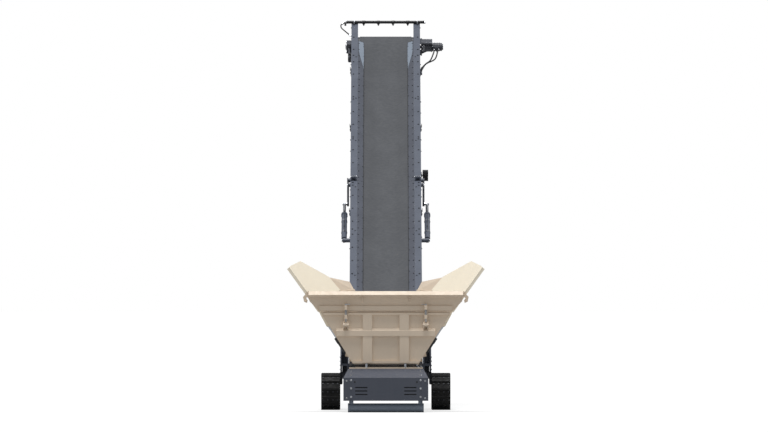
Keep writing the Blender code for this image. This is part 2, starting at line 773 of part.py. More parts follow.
def fold_linkage(left, hand):
    foot, pin = fold_point(FOLD_FOOT), fold_point(LINKAGE_PIN)
    rocker, link = fold_point(ROCKER_PIVOT), fold_point(LINK_PIVOT)
    rocker_arm = flat_arm(rocker, pin, ROCKER_LAYER, [rocker])
    link_arm = flat_arm(link, pin, LINK_LAYER, [link])
    piece(f"fold_rocker_{hand}", PIVOTS[f"fold_rocker_{hand}"], "dark_steel", [rocker_arm], left=left)
    piece(f"fold_link_{hand}", PIVOTS[f"fold_link_{hand}"], "frame_paint", [link_arm], left=left)
    solids, cutters = cylinder_barrel(
        foot,
        pin,
        FOLD_CYLINDER_X,
        FOLD_BARREL_RADIUS,
        FOLD_BARREL_LENGTH,
        FOLD_ROD_RADIUS,
        LINKAGE_PIN_RADIUS,
    )
    solids = [put(shape, BELT_LINE) for shape in solids]
    cutters = [put(shape, BELT_LINE) for shape in cutters]
    barrel_pivot = PIVOTS[f"fold_barrel_{hand}"]
    piece(f"fold_barrel_{hand}", barrel_pivot, "frame_paint", solids, cutters, left=left)
    stub = FOLD_CYLINDER_X - EYE_WIDTH / 2 - LINK_LAYER[1] - GAP
    rod = cylinder_rod(foot, pin, FOLD_CYLINDER_X, FOLD_ROD_RADIUS, 0.9, LINKAGE_EYE, stub)
    rod = [put(shape, BELT_LINE) for shape in rod]
    piece(f"fold_rod_{hand}", PIVOTS[f"fold_rod_{hand}"], "bright_steel", rod, left=left)


# ---- luff cylinders ------------------------------------------------------------------------------------


def luff_head_point():
    point = on_belt_line(0, LUFF_HEAD_U, LUFF_HEAD_W)
    return (point.y, point.z)


def luff_cylinder(left, hand):
    head = luff_head_point()
    length = 1.55
    solids, cutters = cylinder_barrel(
        LUFF_FOOT, head, LUFF_CYLINDER_X, LUFF_BARREL_RADIUS, length, LUFF_ROD_RADIUS, 0.03
    )
    piece(f"luff_barrel_{hand}", PIVOTS[f"luff_barrel_{hand}"], "frame_paint", solids, cutters, left=left)
    rod = cylinder_rod(LUFF_FOOT, head, LUFF_CYLINDER_X, LUFF_ROD_RADIUS, 0.9, 0.06)
    piece(f"luff_rod_{hand}", PIVOTS[f"luff_rod_{hand}"], "bright_steel", rod, left=left)


# ---- hopper --------------------------------------------------------------------------------------------


def in_wall(point):
    """A ground point in the side wall's frame, as its run along the hinge and its height in the wall."""
    local = WALL.inverted() @ Vector(point)
    return (local.y, local.z)


def wall_foot(y_local):
    """How far down the wall its foot lies, at a run along the hinge line."""
    start = in_wall(wall_point(HOPPER_FRONT, line_height(HOPPER_FRONT, SEAT_W)))
    end = in_wall(wall_point(HOPPER_FRONT + HOPPER_LENGTH, SIDE_SHELF))
    share = (y_local - start[0]) / (end[0] - start[0])
    return start[1] + share * (end[1] - start[1])


def wall_block(x, y, z):
    return put(block(x, y, z), WALL)


def hopper_side():
    """The right side wall with its ribs, foot strip, hinge knuckles and cylinder bracket."""
    plate = HOPPER_PLATE
    shelf_end = HOPPER_FRONT + HOPPER_LENGTH
    wall = prism(
        [
            in_wall(wall_point(HOPPER_FRONT - 0.006, line_height(HOPPER_FRONT, SEAT_W))),
            in_wall(wall_point(shelf_end, SIDE_SHELF)),
            in_wall(wall_point(shelf_end, SIDE_SHELF + 0.012)),
            (HINGE_RUN.length, -0.05),
            (in_wall(HINGE_START)[0] - 0.004, -0.05),
        ],
        "x",
        -plate,
        0.0,
    )
    lip = block((-plate + 0.003, 0.022), (-0.004, HINGE_RUN.length - 0.02), (-0.085, -0.068))
    ribs = []
    for y in (1.05, 1.85, 2.5):
        foot = wall_foot(y) + 0.05
        rib = [(-0.002, -0.07), (0.05, -0.085), (0.05, foot + 0.12), (-0.002, foot)]
        ribs.append(put(prism(rib, "y", y - 0.03, y + 0.03), WALL))
    strip_u = (0.50, (shelf_end - 0.03) / cos(BELT_ANGLE))
    strip_x = (HOPPER_SEAT_X - 0.03, FRAME_HALF - 0.006)
    foot_strip = put(block(strip_x, strip_u, (FLANGE_TOP + GAP, FLANGE_TOP + 0.02)), BELT_LINE)
    bracket = []
    for side in (-1, 1):
        y_low = WING_CYLINDER_Y + side * (EYE_WIDTH / 2 + GAP) + (-0.02 if side < 0 else 0.0)
        outline = [
            (-0.002, WING_FOOT[1] + 0.06),
            (0.075, WING_FOOT[1] + 0.045),
            (0.12, WING_FOOT[1]),
            (0.075, WING_FOOT[1] - 0.045),
            (-0.002, WING_FOOT[1] - 0.08),
        ]
        bracket.append(put(prism(outline, "y", y_low, y_low + 0.02), WALL))
    foot_pin = bar(
        (WING_FOOT[0], WING_CYLINDER_Y - 0.06, WING_FOOT[1]),
        (WING_FOOT[0], WING_CYLINDER_Y + 0.06, WING_FOOT[1]),
        0.018,
        12,
    )
    bracket.append(put(foot_pin, WALL))
    knuckles = []
    for y in WING_HINGES:
        knuckles.append(wall_block((-0.004, HINGE_OFFSET), (y - 0.047, y + 0.047), (-0.10, -0.036)))
        knuckles.append(wall_block((0.012, HINGE_OFFSET), (y - 0.045, y + 0.045), (-0.06, -0.012)))
        knuckle = bar((HINGE_OFFSET, y - 0.05, 0), (HINGE_OFFSET, y + 0.05, 0), 0.02)
        hinge_pin = bar((HINGE_OFFSET, y - 0.11, 0), (HINGE_OFFSET, y + 0.11, 0), 0.009, 12)
        knuckles += [put(knuckle, WALL), put(hinge_pin, WALL)]
    return [put(wall, WALL), put(lip, WALL), *ribs, foot_strip, *bracket, *knuckles]


WING_HINGES = (0.75, 2.25)
REAR_TOP = (1.084, WALL_HINGE_END - 0.12, 2.564)


def rear_panel():
    """The fixed panel that closes the hopper's rear corner, from the wall's shelf up to the conveyor."""
    shelf_in = (HOPPER_SEAT_X + 0.008, HOPPER_FRONT + HOPPER_LENGTH, SIDE_SHELF + 0.012)
    shelf_out = (HINGE_END.x, HINGE_END.y + 0.035, SIDE_SHELF - 0.02)
    inner_y = HOPPER_FRONT + HOPPER_LENGTH + 0.45
    inner = (FRAME_HALF - 0.004, inner_y, line_height(inner_y, SEAT_W) + 0.004)
    outer = (REAR_TOP[0], REAR_TOP[1] + 0.035, REAR_TOP[2])
    panel = sheet([shelf_in, shelf_out, outer, inner], [(0, 1, 2), (0, 2, 3)], HOPPER_PLATE)
    seam = bar(shelf_in, shelf_out, 0.016, 8)
    return [panel, seam]


def hopper_front():
    """The wall across the feed end, its ribs and the lugs that the flap turns on."""
    outer = HOPPER_FRONT - HOPPER_PLATE
    bottom, top = 0.805, 1.912
    x_at = lambda z: wall_point(HOPPER_FRONT, z).x - 0.006
    wall = prism(
        [(-x_at(bottom), bottom), (x_at(bottom), bottom), (x_at(top), top), (-x_at(top), top)],
        "y",
        outer,
        HOPPER_FRONT,
    )
    shapes = [wall]
    shapes.append(block((-x_at(1.84), x_at(1.84)), (0.06, outer + 0.004), (1.85, 1.886)))
    middle = [(outer + 0.004, 1.446), (0.05, 1.446), (0.05, 1.545), (outer + 0.004, 1.60)]
    shapes.append(prism(middle, "x", -x_at(1.43), x_at(1.43)))
    edge = x_at(0.92)
    shapes.append(block((-edge, edge), (0.075, outer + 0.004), (0.93, 0.97)))
    for side in (-1, 1):
        rib = sorted((side * 0.26, side * 0.44))
        shapes.append(block(rib, (0.058, outer + 0.004), (0.94, 1.86)))
        for near in (FLAP_STRAP_X - 0.05, FLAP_STRAP_X + 0.03):
            lug = sorted((side * near, side * (near + 0.02)))
            outline = [
                (outer + 0.004, FLAP_PIVOT_Z - 0.12),
                (outer + 0.004, FLAP_PIVOT_Z + 0.08),
                (0.0, FLAP_PIVOT_Z + 0.035),
                (-0.035, FLAP_PIVOT_Z),
                (0.0, FLAP_PIVOT_Z - 0.035),
            ]
            shapes.append(prism(outline, "x", lug[0], lug[1]))
        pin = sorted((side * (FLAP_STRAP_X - 0.06), side * (FLAP_STRAP_X + 0.06)))
        shapes.append(bar((pin[0], 0, FLAP_PIVOT_Z), (pin[1], 0, FLAP_PIVOT_Z), 0.015, 12))
    return shapes


def hopper_body():
    sides = both([*hopper_side(), *rear_panel()])
    piece("hopper_body", LUFF, "hopper_paint", [*hopper_front(), *sides])


WING_SCALE = hypot(WING_LEAN, 1.0)


def hopper_wing(left, hand):
    run = HINGE_RUN.length
    rise = WING_RISE * WING_SCALE
    outline = [
        (0.03, 0.015),
        (0.03 + WING_SETBACK * run, rise),
        (0.15 * run + 0.03, rise),
        (0.523 * run, 0.757 * WING_SCALE),
        (0.965 * run, 0.275 * WING_SCALE),
        (0.99 * run, 0.015),
    ]
    inner, outer = -HINGE_OFFSET - HOPPER_PLATE, -HINGE_OFFSET
    shapes = [prism(outline, "x", inner, outer)]
    back = 0.03
    start, corner, end = outline[0][0] + 0.002, outline[1][0] + 0.002, outline[2][0]
    front_edge = [(start, 0.02), (corner, rise - 0.002), (corner + back, rise - 0.002), (start + back, 0.02)]
    shapes.append(prism(front_edge, "x", outer - 0.006, outer + 0.045))
    shapes.append(block((outer - 0.005, outer + 0.042), (corner + 0.004, end), (rise - back, rise - 0.004)))
    for y, height in ((0.95, 0.74), (1.55, 0.60), (2.2, 0.36)):
        rib = [(outer - 0.002, 0.03), (outer + 0.02, 0.03), (outer + 0.045, 0.12), (outer - 0.002, height)]
        shapes.append(prism(rib, "y", y - 0.03, y + 0.03))
    for y in WING_HINGES:
        for side in (-1, 1):
            low = y + side * (0.05 + GAP) + (-0.06 if side < 0 else 0.0)
            shapes.append(bar((0, low, 0), (0, low + 0.06, 0), 0.02))
            shapes.append(block((outer - 0.004, 0.003), (low + 0.002, low + 0.058), (0.006, 0.06)))
    eye = WING.inverted() @ WALL @ Vector((WING_EYE[0], WING_CYLINDER_Y, WING_EYE[1]))
    for side in (-1, 1):
        low = eye.y + side * (EYE_WIDTH / 2 + GAP) + (-0.02 if side < 0 else 0.0)
        lever = [
            (outer - 0.004, 0.26),
            (outer - 0.004, 0.03),
            (-0.005, -0.02),
            (0.014, -0.09),
            (eye.x - 0.035, eye.z),
            (eye.x, eye.z - 0.035),
            (eye.x + 0.035, eye.z),
            (0.065, -0.05),
            (0.0, 0.22),
        ]
        shapes.append(prism(lever, "y", low, low + 0.02))
        ends = (low - 0.008, low + 0.01) if side < 0 else (low + 0.01, low + 0.028)
        shapes.append(bar((eye.x, ends[0], eye.z), (eye.x, ends[1], eye.z), 0.022, 12))
    solids = [put(shape, WING) for shape in shapes]
    cutters = []
    for y in WING_HINGES:
        hole = bore((HINGE_OFFSET, y - 0.12, 0), (HINGE_OFFSET, y + 0.12, 0), 0.009)
        cutters.append(put(hole, WALL))
    piece(f"hopper_wing_{hand}", PIVOTS[f"hopper_wing_{hand}"], "hopper_paint", solids, cutters, left=left)


def wing_cylinder(left, hand):
    """The small cylinder under a wing, drawn across Y in the side wall's frame."""
    place = WALL @ Matrix.Translation((0, WING_CYLINDER_Y, 0)) @ Matrix.Rotation(pi / 2, 4, "Z")
    foot, head = (-WING_FOOT[0], WING_FOOT[1]), (-WING_EYE[0], WING_EYE[1])
    solids, cutters = cylinder_barrel(
        foot, head, 0.0, WING_BARREL_RADIUS, WING_BARREL_LENGTH, WING_ROD_RADIUS, 0.018
    )
    solids = [put(shape, place) for shape in solids]
    cutters = [put(shape, place) for shape in cutters]
    piece(f"wing_barrel_{hand}", PIVOTS[f"wing_barrel_{hand}"], "hose_rubber", solids, cutters, left=left)
    rod = cylinder_rod(foot, head, 0.0, WING_ROD_RADIUS, 0.115, 0.04)
    rod = [put(shape, place) for shape in rod]
    piece(f"wing_rod_{hand}", PIVOTS[f"wing_rod_{hand}"], "bright_steel", rod, left=left)


LOCK_GUIDES = ((1.775, 1.85), (1.95, 2.03))
LOCK_PIN_Y = -0.0125


def feed_flap():
    """The hinged board on top of the front wall, with straps down to its pivots and the locks' guides."""
    back = HOPPER_FRONT
    front = back - HOPPER_PLATE
    right_edge = [(1.26, 1.915), (1.45, 2.107), (1.49, FLAP_TOP)]
    board = [*right_edge, *[(-x, z) for x, z in reversed(right_edge)]]
    shapes = [prism(board, "y", front, back)]
    rim = [(back, FLAP_TOP), (0.04, FLAP_TOP), (0.04, FLAP_TOP - 0.05), (front + 0.004, FLAP_TOP - 0.12)]
    shapes.append(prism([*rim, (back, FLAP_TOP - 0.12)], "x", -1.49, 1.49))
    shapes.append(block((-1.27, 1.27), (0.075, front + 0.004), (1.93, 2.02)))
    for side in (-1, 1):
        x = sorted((side * (FLAP_STRAP_X - 0.03 + GAP), side * (FLAP_STRAP_X + 0.03 - GAP)))
        shapes.append(block(x, (0.018, 0.052), (FLAP_PIVOT_Z, 2.06)))
        shapes.append(block(x, (0.02, front + 0.004), (1.94, 2.06)))
        shapes.append(bar((x[0], 0, FLAP_PIVOT_Z), (x[1], 0, FLAP_PIVOT_Z), 0.033))
        for z in LOCK_GUIDES:
            shapes.append(block((x[0] + 0.004, x[1] - 0.004), (-0.042, 0.03), z))
    cutters = []
    for side in (-1, 1):
        x = side * FLAP_STRAP_X
        cutters.append(bore((x - 0.05, 0, FLAP_PIVOT_Z), (x + 0.05, 0, FLAP_PIVOT_Z), 0.015))
        cutters.append(bore((x, LOCK_PIN_Y, 1.73), (x, LOCK_PIN_Y, 2.08), LOCK_PIN_RADIUS))
    piece("feed_flap", FLAP, "hopper_paint", shapes, cutters)


def flap_lock(left, hand):
    x = FLAP_STRAP_X
    solids = [
        bar((x, LOCK_PIN_Y, 1.715), (x, LOCK_PIN_Y, 2.045), LOCK_PIN_RADIUS, 12),
        bar((x, LOCK_PIN_Y, 1.85 + GAP), (x, LOCK_PIN_Y, 1.862), 0.02, 12),
        bar((x, LOCK_PIN_Y, 2.04), (x, LOCK_PIN_Y, 2.06), 0.018, 12),
        block((x - 0.08, x + 0.005), (LOCK_PIN_Y - 0.006, LOCK_PIN_Y + 0.006), (2.044, 2.058)),
    ]
    piece(f"flap_lock_pin_{hand}", PIVOTS[f"flap_lock_{hand}"], "bright_steel", solids, left=left)


# ---- tail guard, skid and fittings ---------------------------------------------------------------------


def tail_guard():
    low, shoulder, top = 0.22, 0.657, 0.825
    narrow = 0.714
    points = [
        (-GUARD_HALF, GUARD_FRONT, low),
        (GUARD_HALF, GUARD_FRONT, low),
        (GUARD_HALF, GUARD_FRONT, shoulder),
        (-GUARD_HALF, GUARD_FRONT, shoulder),
        (narrow, GUARD_BACK, top),
        (-narrow, GUARD_BACK, top),
        (narrow, GUARD_BACK, 0.40),
        (-narrow, GUARD_BACK, 0.40),
    ]
    hood = sheet(points, [(0, 1, 2, 3), (3, 2, 4, 5), (1, 6, 4, 2), (0, 3, 5, 7)], 0.008)
    tab = block((FRAME_HALF - SIDE_INSET + GAP, 0.7495), (-0.20, -0.16), (0.45, 0.52))
    slots = []
    for side in (-1, 1):
        x = sorted((side * 0.35, side * 0.58))
        for z in (0.34, 0.406, 0.472):
            slots.append(block(x, (GUARD_FRONT - 0.02, GUARD_FRONT + 0.02), (z - 0.009, z + 0.009)))
    piece("tail_guard", LUFF, "frame_paint", [hood, *both([tab])], slots)


SKID_FACET = SKID_RADIUS / cos(pi / 24)


def tail_skid():
    tube = bar((-SKID_HALF, SKID_Y, SKID_RADIUS), (SKID_HALF, SKID_Y, SKID_RADIUS), SKID_FACET, 24)
    hanger_x = (0.615, FRAME_HALF - PLATE - SIDE_INSET - GAP)
    hanger = block(hanger_x, (SKID_Y - 0.045, SKID_Y + 0.045), (0.10, 0.34))
    piece("tail_skid", LUFF, "dark_steel", [tube, *both([hanger])])


def hose(name, carrier, points, radius, left=False):
    """A hose through its points, as a round tube on a smooth line."""
    curve = bpy.data.curves.new(name, "CURVE")
    curve.dimensions = "3D"
    curve.bevel_depth = radius
    curve.bevel_resolution = 2
    curve.use_fill_caps = True
    spline = curve.splines.new("POLY")
    smooth = spaced(points)
    spline.points.add(len(smooth) - 1)
    for target, point in zip(spline.points, smooth):
        target.co = (*point, 1.0)
    guide = bpy.data.objects.new(name, curve)
    bpy.context.scene.collection.objects.link(guide)
    graph = bpy.context.evaluated_depsgraph_get()
    mesh = bpy.data.meshes.new_from_object(guide.evaluated_get(graph))
    shape = bmesh.new()
    shape.from_mesh(mesh)
    bmesh.ops.remove_doubles(shape, verts=shape.verts, dist=1e-5)
    bmesh.ops.recalc_face_normals(shape, faces=shape.faces)
    bpy.data.objects.remove(guide)
    bpy.data.curves.remove(curve)
    bpy.data.meshes.remove(mesh)
    piece(name, carrier, "hose_rubber", [shape], left=left)


def spaced(points, per_span=4):
    """Points on a smooth curve through the given ones (Catmull-Rom)."""
    knots = [Vector(point) for point in points]
    knots = [2 * knots[0] - knots[1], *knots, 2 * knots[-1] - knots[-2]]
    made = []
    for before, start, end, after in zip(knots, knots[1:], knots[2:], knots[3:]):
        for i in range(per_span):
            t = i / per_span
            made.append(
                0.5
                * (
                    2 * start
                    + (end - before) * t
                    + (2 * before - 5 * start + 4 * end - after) * t**2
                    + (3 * start - before - 3 * end + after) * t**3
                )
            )
    made.append(knots[-2])
    return made


def hopper_hose_bundle():
    rail = block((-0.70, 0.70), (0.062, 0.104), (0.80, 0.85))
    pack = block((-0.69, 0.66), (0.066, 0.100), (0.855, 0.915))
    clamps = []
    for x in (-0.37, 0.37):
        clamps.append(block((x - 0.02, x + 0.02), (0.06, 0.1077), (0.80, 0.925)))
    fitting = bar((0.66, 0.083, 0.885), (0.70, 0.083, 0.885), 0.02, 12)
    solids = [rail, *clamps, pack, fitting]
    piece("hopper_hose_rail", LUFF, "hopper_paint", solids)


def spray_bar():
    u, w, radius = HEAD_END_U - 0.05, FLANGE_TOP + 0.035, 0.030
    pipe = bar((-0.78, u, w), (0.77, u, w), radius, 16)
    end = bar((0.765, u, w), (0.79, u, w), 0.032, 6)
    elbow = bar((-0.84, u, w), (-0.775, u, w), 0.032, 12)
    drop = bar((-0.825, u, w), (-0.825, u - 0.06, w - 0.05), 0.02, 12)
    nozzles = []
    for x in (-0.45, -0.15, 0.15, 0.45):
        nozzles.append(bar((x, u, w), (x, u, w - 0.055), 0.014, 12, 0.007))
    feet = [block((x, x + 0.03), (u - 0.045, u + 0.045), (FLANGE_TOP + GAP, w)) for x in (-0.66, 0.63)]
    solids = on_line([pipe, end, elbow, drop, *nozzles, *feet])
    piece("spray_bar", FOLD, "dark_steel", solids)


def head_bearing():
    """The take-up bearing on the left of the head drum, with its adjusting screw."""
    housing = block((-0.80, -FRAME_HALF - GAP), (19.18, 19.42), (-0.10, 0.10))
    rail = block((-0.76, -FRAME_HALF - 0.004), (18.72, 19.60), (-0.13, -0.09))
    stop = block((-0.77, -FRAME_HALF - 0.008), (18.74, 18.78), (-0.12, 0.06))
    screw = bar((-0.745, 18.65, 0.0), (-0.745, 19.22, 0.0), 0.016, 12)
    hole = bore((-0.9, DRUM_SPACING, 0), (-0.6, DRUM_SPACING, 0), SHAFT_RADIUS)
    solids = on_line([housing, rail, stop, screw])
    piece("head_bearing", FOLD, "dark_steel", solids, on_line([hole]))


def drive_motor():
    """The hydraulic drive on the right of the head drum: bracket, gearbox, motor and port."""
    u = DRUM_SPACING
    plate = block((FRAME_HALF + 0.021, FRAME_HALF + 0.04), (u - 0.17, u + 0.17), (-0.13, 0.13))
    feet = []
    for w in (-0.13, 0.11):
        foot_x = (FRAME_HALF + GAP, FRAME_HALF + 0.03)
        feet.append(block(foot_x, (u - 0.16, u + 0.16), (w + 0.003, w + 0.017)))
    gearbox = bar((0.735, u, 0), (0.93, u, 0), 0.095, 24)
    gusset = prism([(0.735, 0.11), (0.94, 0.11), (0.94, 0.095), (0.735, 0.04)], "y", u + 0.14, u + 0.155)
    top = block((0.733, 0.95), (u - 0.10, u + 0.16), (0.085, 0.115))
    motor = bar((0.925, u, 0), (1.15, u, 0), 0.082, 24)
    cap = bar((1.145, u, 0), (1.17, u, 0), 0.06, 16)
    ports = [bar((x, u, 0.0), (x, u - 0.14, 0.0), 0.022, 12) for x in HOSE_PORTS]
    solids = [plate, *feet, gearbox, gusset, top, motor, cap, *ports]
    piece("drive_motor", FOLD, "dark_steel", on_line(solids))


def work_lamp():
    u, w = 11.35, 0.10
    bracket = on_line([
        block((FRAME_HALF + GAP, FRAME_HALF + 0.012), (u - 0.05, u + 0.05), (w - 0.06, w + 0.06)),
        block((FRAME_HALF + 0.01, FRAME_HALF + 0.022), (u - 0.02, u + 0.02), (w - 0.02, w + 0.02)),
        bar((FRAME_HALF + 0.02, u, w), (FRAME_HALF + 0.07, u, w), 0.009, 12),
    ])
    piece("lamp_bracket", FOLD, "dark_steel", bracket)
    front = [(0.05, -0.09), (0.07, -0.04), (0.07, 0.06), (0.03, 0.11)]
    outline = [(-0.07, -0.09), *front, (-0.05, 0.11), (-0.07, 0.07)]
    shape = prism([(u + a, w + b) for a, b in outline], "x", FRAME_HALF + 0.03, FRAME_HALF + 0.14)
    hole = bore((FRAME_HALF + 0.02, u, w), (FRAME_HALF + 0.0705, u, w), 0.009)
    piece("work_lamp", LAMP, "dark_steel", on_line([shape]), on_line([hole]))


def drive_hoses():
    """The two pressure hoses from the motor's port side back to the side channel."""
    u = DRUM_SPACING
    for name, x, end, lift in HOSE_RUNS:
        route = [
            (x, u - 0.1405, 0.0),
            (x, u - 0.17, 0.0),
            (x, u - 0.21, 0.0),
            (x - 0.02, u - 0.28, -0.03 + lift),
            (x - 0.08, u - 0.3 - 0.3 * end, -0.08 + lift),
            (0.82, u - 0.35 - 0.6 * end, -0.05 + lift),
            (0.738, u - 0.42 - end, lift),
            (HOSE_STOP_X, u - 0.57 - end, lift),
            (HOSE_STOP_X, hose_stop(end), lift),
        ]
        hose(f"drive_hose_{name}", FOLD, [on_belt_line(*point) for point in route], 0.014)


# ---- undercarriage -------------------------------------------------------------------------------------

TRACK_Y = (TRACK_CENTRE_Y - TRACK_LENGTH / 2, TRACK_CENTRE_Y + TRACK_LENGTH / 2)
TRACK_X = (TRACK_CENTRE_X - TRACK_WIDTH / 2, TRACK_CENTRE_X + TRACK_WIDTH / 2)
WHEEL_Z = TRACK_HEIGHT / 2
IDLER_Y = TRACK_Y[0] + TRACK_HEIGHT / 2
SPROCKET_Y = TRACK_Y[1] - TRACK_HEIGHT / 2
CHAIN_INNER = TRACK_HEIGHT / 2 - GROUSER - TRACK_SHOE
WHEEL_RADIUS = CHAIN_INNER * cos(pi / 24) - 0.0005


def track_line(distance, radius):
    """A point and its outward direction at a distance along the track's loop, measured on that radius."""
    straight, half = SPROCKET_Y - IDLER_Y, pi * radius
    distance %= 2 * (straight + half)
    if distance < straight:
        return IDLER_Y + distance, WHEEL_Z - radius, (0.0, -1.0)
    if distance < straight + half:
        angle = (distance - straight) / radius - pi / 2
        out = (cos(angle), sin(angle))
        return SPROCKET_Y + radius * out[0], WHEEL_Z + radius * out[1], out
    if distance < 2 * straight + half:
        return SPROCKET_Y - (distance - straight - half), WHEEL_Z + radius, (0.0, 1.0)
    angle = (distance - 2 * straight - half) / radius + pi / 2
    out = (cos(angle), sin(angle))
    return IDLER_Y + radius * out[0], WHEEL_Z + radius * out[1], out


def track_chain():
    """The crawler belt: a loop with one grouser bar for each shoe."""
    radius = TRACK_HEIGHT / 2 - GROUSER
    length = 2 * (SPROCKET_Y - IDLER_Y + pi * radius)
    pitch = length / SHOES
    outline = []
    for i in range(SHOES):
        for share, lift in ((0.30, 0.0), (0.36, GROUSER), (0.56, GROUSER), (0.62, 0.0)):
            y, z, out = track_line((i + share) * pitch, radius)
            outline.append((y + out[0] * lift, z + out[1] * lift))
    inner = stadium((IDLER_Y, WHEEL_Z), (SPROCKET_Y, WHEEL_Z), CHAIN_INNER, 12)
    return prism(outline, "x", TRACK_X[0], TRACK_X[1], [inner])


def track_wheel(y, teeth):
    """A sprocket or an idler with its axle."""
    width = (TRACK_CENTRE_X - 0.07, TRACK_CENTRE_X + 0.07)
    if teeth:
        root = 0.88 * CHAIN_INNER
        rim = []
        for i in range(teeth):
            for share, radius in ((0.0, root), (0.28, WHEEL_RADIUS), (0.62, WHEEL_RADIUS)):
                angle = 2 * pi * (i + share) / teeth
                rim.append((y + radius * cos(angle), WHEEL_Z + radius * sin(angle)))
        wheel = prism(rim, "x", *width)
    else:
        wheel = bar((width[0], y, WHEEL_Z), (width[1], y, WHEEL_Z), WHEEL_RADIUS, 28)
    hub = bar((width[0] - 0.02, y, WHEEL_Z), (width[1] + 0.02, y, WHEEL_Z), 0.11, 16)
    axle = bar((TRACK_X[0] + 0.03, y, WHEEL_Z), (TRACK_X[1] - 0.03, y, WHEEL_Z), WHEEL_AXLE_RADIUS, 16)
    return [wheel, hub, axle]


TRACK_SADDLES = (4.95, 6.65)
SADDLE_X = TRACK_X[0] - 0.045


def track_frame():
    """The beam inside a track, with arms out to both axles and cheeks for the rollers."""
    beam_x = (TRACK_CENTRE_X - 0.09, TRACK_CENTRE_X + 0.09)
    beam = block(beam_x, (IDLER_Y + 0.35, SPROCKET_Y - 0.35), (0.34, 0.53))
    shapes = [beam]
    for low in (TRACK_X[0] + 0.04, TRACK_X[1] - 0.06):
        outline = [
            (IDLER_Y - 0.07, WHEEL_Z - 0.06),
            (SPROCKET_Y + 0.07, WHEEL_Z - 0.06),
            (SPROCKET_Y + 0.07, WHEEL_Z + 0.06),
            (SPROCKET_Y - 0.5, WHEEL_Z + 0.14),
            (IDLER_Y + 0.5, WHEEL_Z + 0.14),
            (IDLER_Y - 0.07, WHEEL_Z + 0.06),
        ]
        shapes.append(prism(outline, "x", low, low + 0.02))
        cheek = [
            (IDLER_Y + 0.35, WHEEL_Z - 0.21),
            (SPROCKET_Y - 0.35, WHEEL_Z - 0.21),
            (SPROCKET_Y - 0.25, WHEEL_Z),
            (IDLER_Y + 0.25, WHEEL_Z),
        ]
        shapes.append(prism(cheek, "x", low, low + 0.02))
    filler = block((TRACK_X[0] + 0.05, TRACK_X[1] - 0.05), (IDLER_Y + 0.40, SPROCKET_Y - 0.40), (0.36, 0.44))
    shapes.append(filler)
    for y in TRACK_SADDLES:
        shapes.append(block((SADDLE_X + 0.004, TRACK_CENTRE_X - 0.08), (y - 0.15, y + 0.15), (0.50, 0.615)))
        saddle_z = (0.49, CHASSIS_BOTTOM - GAP)
        shapes.append(block((SADDLE_X, TRACK_X[0] - 0.004), (y - 0.16, y + 0.16), saddle_z))
    cutters = []
    for y in (IDLER_Y, SPROCKET_Y):
        cutters.append(bore((TRACK_X[0], y, WHEEL_Z), (TRACK_X[1], y, WHEEL_Z), WHEEL_AXLE_RADIUS))
    return shapes, cutters


def tracks(left, hand):
    shapes, cutters = track_frame()
    piece(f"track_frame_{hand}", GROUND, "dark_steel", shapes, cutters, left=left)
    piece(f"track_chain_{hand}", GROUND, "track_rubber", [track_chain()], left=left)
    for kind, y, teeth in (("track_idler", IDLER_Y, 0), ("track_sprocket", SPROCKET_Y, SPROCKET_TEETH)):
        name = f"{kind}_{hand}"
        piece(name, PIVOTS[name], "dark_steel", track_wheel(y, teeth), left=left)


RAIL_X = 0.49


def rail_beam(start, end):
    """One of the chassis's two long I-beams."""
    low, high, flange, web = CHASSIS_BOTTOM, CHASSIS_TOP, 0.07, 0.01
    lower = [(flange, low), (flange, low + PLATE), (web, low + PLATE)]
    upper = [(web, high - PLATE), (flange, high - PLATE), (flange, high)]
    right = lower + upper
    left = [(-x, z) for x, z in reversed(right)]
    return prism([(RAIL_X + x, z) for x, z in right + left], "y", start, end)


